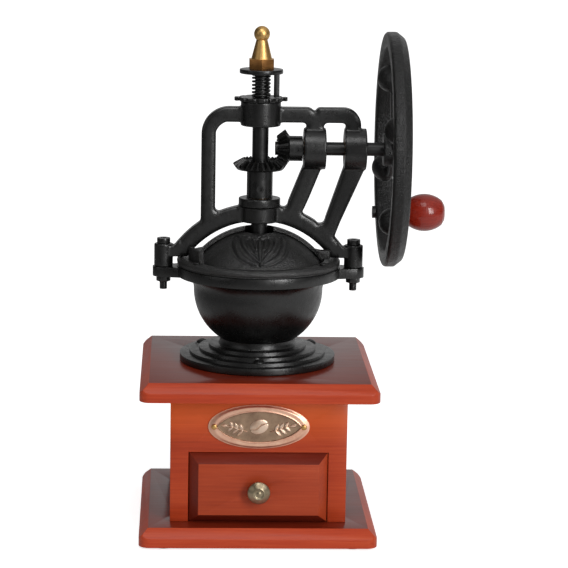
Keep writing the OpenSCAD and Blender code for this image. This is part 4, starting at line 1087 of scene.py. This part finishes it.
def crowned_rim(mesh):
    """Rounds the flat outer face of the wheel's rim down towards its edges."""
    for vertex in mesh.vertices:
        x, y, z = vertex.co
        off = abs((x - wheel_low.x) / rim_half_w - 1)
        reach = math.hypot(y, z - crank_z)
        limit = wheel_r - RIM_CROWN * max(0.0, off - RIM_FLAT) ** 2 / (1 - RIM_FLAT) ** 2
        if reach > limit:
            vertex.co = (x, y * limit / reach, crank_z + (z - crank_z) * limit / reach)


cast("yoke", YOKE_VOXEL, YOKE_KEEP, iron_cast, crowned)
eased("clamp_bolts", CLAMP_EASE, iron_smooth)
eased("clamp_nuts", CLAMP_EASE, iron_smooth)
cast("hand_wheel", WHEEL_VOXEL, WHEEL_KEEP, iron_sandy, crowned_rim)


# ---------------------------------------------------------------- threads, spring and brass nut

BOLT_THREAD_R, BOLT_PITCH, BOLT_THREAD_WIRE = 1.95 * MM, 0.7 * MM, 0.22 * MM
BOLT_THREAD_START = 0.4 * MM
STEM_THREAD_R, STEM_PITCH, STEM_THREAD_WIRE = 3.3 * MM, 1.0 * MM, 0.3 * MM
STEM_THREAD_GAPS = (0.8 * MM, 3.4 * MM)  # over the collar and under the washer's top
WIRE_R, WIRE_SIDES = 0.62 * MM, 12
SPRING_TURNS, SPRING_FLAT, SPRING_STEP = 7.0, 0.6, 12
FINIAL_EASE, FINIAL_ANGLE, FINIAL_WELD = 0.28 * MM, 24, 0.02 * MM
HEX_H = 5.3 * MM
BORE_R, BORE_EASE = 3.45 * MM, 0.05 * MM
BORE_BAND = (-0.3 * MM, 0.1 * MM)

bolt_low, bolt_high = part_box("clamp_bolts")
bolt_x = bolt_high.x - (bolt_high.y - bolt_low.y) / 2
threads = [
    thread(
        side * bolt_x,
        BOLT_THREAD_R,
        bolt_low.z + BOLT_THREAD_START,
        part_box("clamp_nuts")[0].z,
        BOLT_PITCH,
        BOLT_THREAD_WIRE,
    )
    for side in (-1, 1)
]
piece_from("clamp_threads", joined("clamp_threads", *threads), iron_smooth, body="base")

stem_thread = thread(
    0,
    STEM_THREAD_R,
    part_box("notched_collar")[1].z + STEM_THREAD_GAPS[0],
    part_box("lock_washer")[1].z - STEM_THREAD_GAPS[1],
    STEM_PITCH,
    STEM_THREAD_WIRE,
)
piece_from("stem_thread", stem_thread, dark_steel, body="shaft")

spring_low, spring_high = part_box("adjusting_spring")
spring_path = coil(
    0,
    (spring_high.x - spring_low.x) / 2 - WIRE_R,
    spring_low.z + WIRE_R,
    spring_high.z - WIRE_R,
    SPRING_TURNS,
    flat_ends=SPRING_FLAT,
    step=SPRING_STEP,
)
spring = tube(spring_path, WIRE_R, WIRE_SIDES)
piece_from("wound_spring", spring, iron_smooth, "adjusting_spring")

finial = eased(
    "finial_nut",
    FINIAL_EASE,
    brass,
    segments=3,
    angle=FINIAL_ANGLE,
    extra=(dark_hex_brass,),
    weld=FINIAL_WELD,
)
hex_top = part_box("finial_nut")[0].z + HEX_H
# The hex, up to hex_top, takes the darker brass.
for face in finial.data.polygons:
    face.material_index = int(face.center.z < hex_top)
for vertex in finial.data.vertices:  # room for the stem's thread
    x, y, z = vertex.co
    reach = math.hypot(x, y)
    if BORE_R + BORE_BAND[0] < reach < BORE_R + BORE_BAND[1]:
        wider = (reach + BORE_EASE) / reach
        vertex.co = (x * wider, y * wider, z)


# ---------------------------------------------------------------- small hardware

for node, ease, material in (  # with the width of its rounded edges in mm
    ("lock_washer", 0.35, iron_smooth),
    ("notched_collar", 0.25, iron_smooth),
    ("wheel_washer", 0.2, bright_steel),
    ("wheel_nut", 0.4, dark_steel),
    ("handle_washer", 0.2, bright_steel),
):
    eased(node, ease * MM, material)

# CAD nodes whose shape is right, with a finished material.
KEPT = {
    "drive_gear": iron_smooth,
    "pinion": iron_smooth,
    "main_shaft": dark_steel,
    "crank_shaft": dark_steel,
    "handle_pin": dark_steel,
    "gear_grub_screw": dark_steel,
    "pinion_grub_screw": dark_steel,
    "burr_nut": dark_steel,
    "burr_washer": dark_steel,
    "outer_burr": burr_steel,
    "inner_burr": burr_steel,
    "board_screws": bright_steel,
    "drawer_knob_screw": bright_steel,
    "upper_bush": bronze,
    "lower_bush": bronze,
    "inner_crank_bush": bronze,
    "outer_crank_bush": bronze,
    "handle_knob": grip_wood,
}
for node, material in KEPT.items():
    slots = frame["nodes"][node].data.materials
    slots.clear()
    slots.append(material)


# ---------------------------------------------------------------- camera

CAMERA_AZIMUTH = 2.63
CAMERA_ELEVATION = 10.98
CAMERA_ROLL = 1.01
CAMERA_DISTANCE = 1.292
CAMERA_TARGET = Vector((0.01445, 0.0, 0.13508))
FOCAL_PIXELS = 2308.0
IMAGE_PIXELS = 568
SENSOR = 36.0
CLIP = (0.05, 30.0)


def make_camera():
    angles = (CAMERA_AZIMUTH, CAMERA_ELEVATION, CAMERA_ROLL)
    azimuth, elevation, roll = map(math.radians, angles)
    flat = math.cos(elevation)
    ahead = Vector((math.sin(azimuth) * flat, math.cos(azimuth) * flat, -math.sin(elevation)))
    right = ahead.cross(Vector((0, 0, 1))).normalized()
    up = right.cross(ahead)
    level_right = right * math.cos(roll) + up * math.sin(roll)
    level_up = up * math.cos(roll) - right * math.sin(roll)
    data = bpy.data.cameras.new("camera")
    data.sensor_fit = "HORIZONTAL"
    data.sensor_width = SENSOR
    data.lens = FOCAL_PIXELS / IMAGE_PIXELS * SENSOR
    data.clip_start, data.clip_end = CLIP
    camera = bpy.data.objects.new("camera", data)
    turn = Matrix((level_right, level_up, -ahead)).transposed().to_4x4()
    camera.matrix_world = Matrix.Translation(CAMERA_TARGET - ahead * CAMERA_DISTANCE) @ turn
    bpy.context.scene.collection.objects.link(camera)
    bpy.context.scene.camera = camera


make_camera()


# ---------------------------------------------------------------- floor, lights and world

FLOOR_NEAR, FLOOR_FAR = 0.72, 0.92  # strength of its own light, near and far
FLOOR_FADE = (0.25, 1.6)
FLOOR_LEVEL = -0.02 * MM
# In reflections the floor dims from its share at LEFT_X to its share at RIGHT_X.
LEFT_X, RIGHT_X = -0.5, 0.3
LEFT_SHARE, RIGHT_SHARE = 0.15, 0.6
PAPER_SHADE = 0.86
PAPER_HALF_W, PAPER_FRONT, PAPER_BACK = 4.0, -0.42, 6.0
DAYLIGHT, DAYLIGHT_TOP = 0.46, 0.22
# What the room shows in reflections, by direction.
GLOSS_SIDE, GLOSS_BACK, GLOSS_TOP = 0.10, 0.60, 0.60
GLOSS_LEFT, GLOSS_FRONT = 0.20, 0.40
BACK_FADE, TOP_FADE, FRONT_FADE = (0.3, 0.95), (0.2, 0.9), (-0.95, -0.35)
LEFT_FADE, DAY_FADE = (-0.6, 0.1), (0.1, 0.9)
PAPER_ROUGH = 0.9
WHITE = (1.0, 1.0, 1.0)
# Name, place, height aimed at, width, height or none for a square, and watts.
LAMPS = (
    ("key", (1.0, -1.73, 0.80), 0.12, 0.5, 1.2, 25.5),
    ("fill", (-1.5, -0.9, 0.7), 0.12, 1.0, None, 2.0),
    ("top", (-0.1, -0.75, 1.45), 0.14, 0.7, None, 5.0),
)


def make_lamp(name, place, aim_z, width, height, power):
    data = bpy.data.lights.new(name, "AREA")
    data.energy = power
    data.size = width
    if height:
        data.shape = "RECTANGLE"
        data.size_y = height
    lamp = bpy.data.objects.new(name, data)
    lamp.location = place
    toward = Vector((0.0, 0.0, aim_z)) - Vector(place)
    lamp.rotation_euler = toward.to_track_quat("-Z", "Y").to_euler()
    bpy.context.scene.collection.objects.link(lamp)


def floor_material():
    """White paper that keeps the object's shadow, and is lit by itself for the camera and in
    reflections."""
    n = material_nodes("paper")
    ray = n.add("LightPath").outputs
    other = n.math("MAXIMUM", ray["Is Glossy Ray"], ray["Is Transmission Ray"])
    seen = n.math("MAXIMUM", ray["Is Camera Ray"], other)
    place = n.place()
    away = n.add("VectorMath", {0: place}, operation="LENGTH").outputs["Value"]
    own = n.spread(away, FLOOR_NEAR, FLOOR_FAR, *FLOOR_FADE)
    dim = n.spread(n.part(place, "X"), 1 - LEFT_SHARE, 1 - RIGHT_SHARE, LEFT_X, RIGHT_X)
    share = n.math("SUBTRACT", 1.0, n.math("MULTIPLY", dim, ray["Is Glossy Ray"]))
    return n.finish(
        Base_Color=n.math("MULTIPLY", share, PAPER_SHADE),
        Roughness=PAPER_ROUGH,
        Specular_IOR_Level=0.0,
        Emission_Color=WHITE,
        Emission_Strength=n.math("MULTIPLY", n.math("MULTIPLY", seen, own), share),
    )


def make_floor():
    x = PAPER_HALF_W
    corners = ((-x, PAPER_FRONT), (x, PAPER_FRONT), (x, PAPER_BACK), (-x, PAPER_BACK))
    mesh = bpy.data.meshes.new("paper")
    mesh.from_pydata([(*corner, FLOOR_LEVEL) for corner in corners], [], [(0, 1, 2, 3)])
    mesh.materials.append(floor_material())
    paper = bpy.data.objects.new("paper", mesh)
    bpy.context.scene.collection.objects.link(paper)


def make_world():
    """A studio with plain daylight. It is white to the camera, and in reflections it is a dim room
    with a brighter back, top and front, darker towards the left."""
    n = Nodes(bpy.data.worlds.new("studio"))
    ray = n.add("LightPath").outputs
    toward = n.add("SeparateXYZ", {0: n.add("TexCoord").outputs["Generated"]}).outputs
    back = n.spread(toward["Y"], GLOSS_SIDE, GLOSS_BACK, *BACK_FADE)
    top = n.spread(toward["Z"], GLOSS_SIDE, GLOSS_TOP, *TOP_FADE)
    front = n.spread(toward["Y"], GLOSS_FRONT, GLOSS_SIDE, *FRONT_FADE)
    gloss = n.math("MAXIMUM", n.math("MAXIMUM", back, top), front)
    left = n.spread(toward["X"], GLOSS_LEFT, 1.0, *LEFT_FADE)
    gloss = n.math("MULTIPLY", gloss, left)
    day = n.spread(toward["Z"], DAYLIGHT, DAYLIGHT_TOP, *DAY_FADE)
    white = n.math("MAXIMUM", ray["Is Camera Ray"], ray["Is Transmission Ray"])
    plain = n.math("MAXIMUM", day, white)
    difference = n.math("MULTIPLY", n.math("SUBTRACT", gloss, plain), ray["Is Glossy Ray"])
    background = n.tree.nodes["Background"]
    n.put(background, "Color", WHITE)
    n.put(background, "Strength", n.math("ADD", plain, difference))
    bpy.context.scene.world = n.owner


make_floor()
make_world()
for lamp in LAMPS:
    make_lamp(*lamp)
bpy.context.scene.view_settings.view_transform = "Standard"
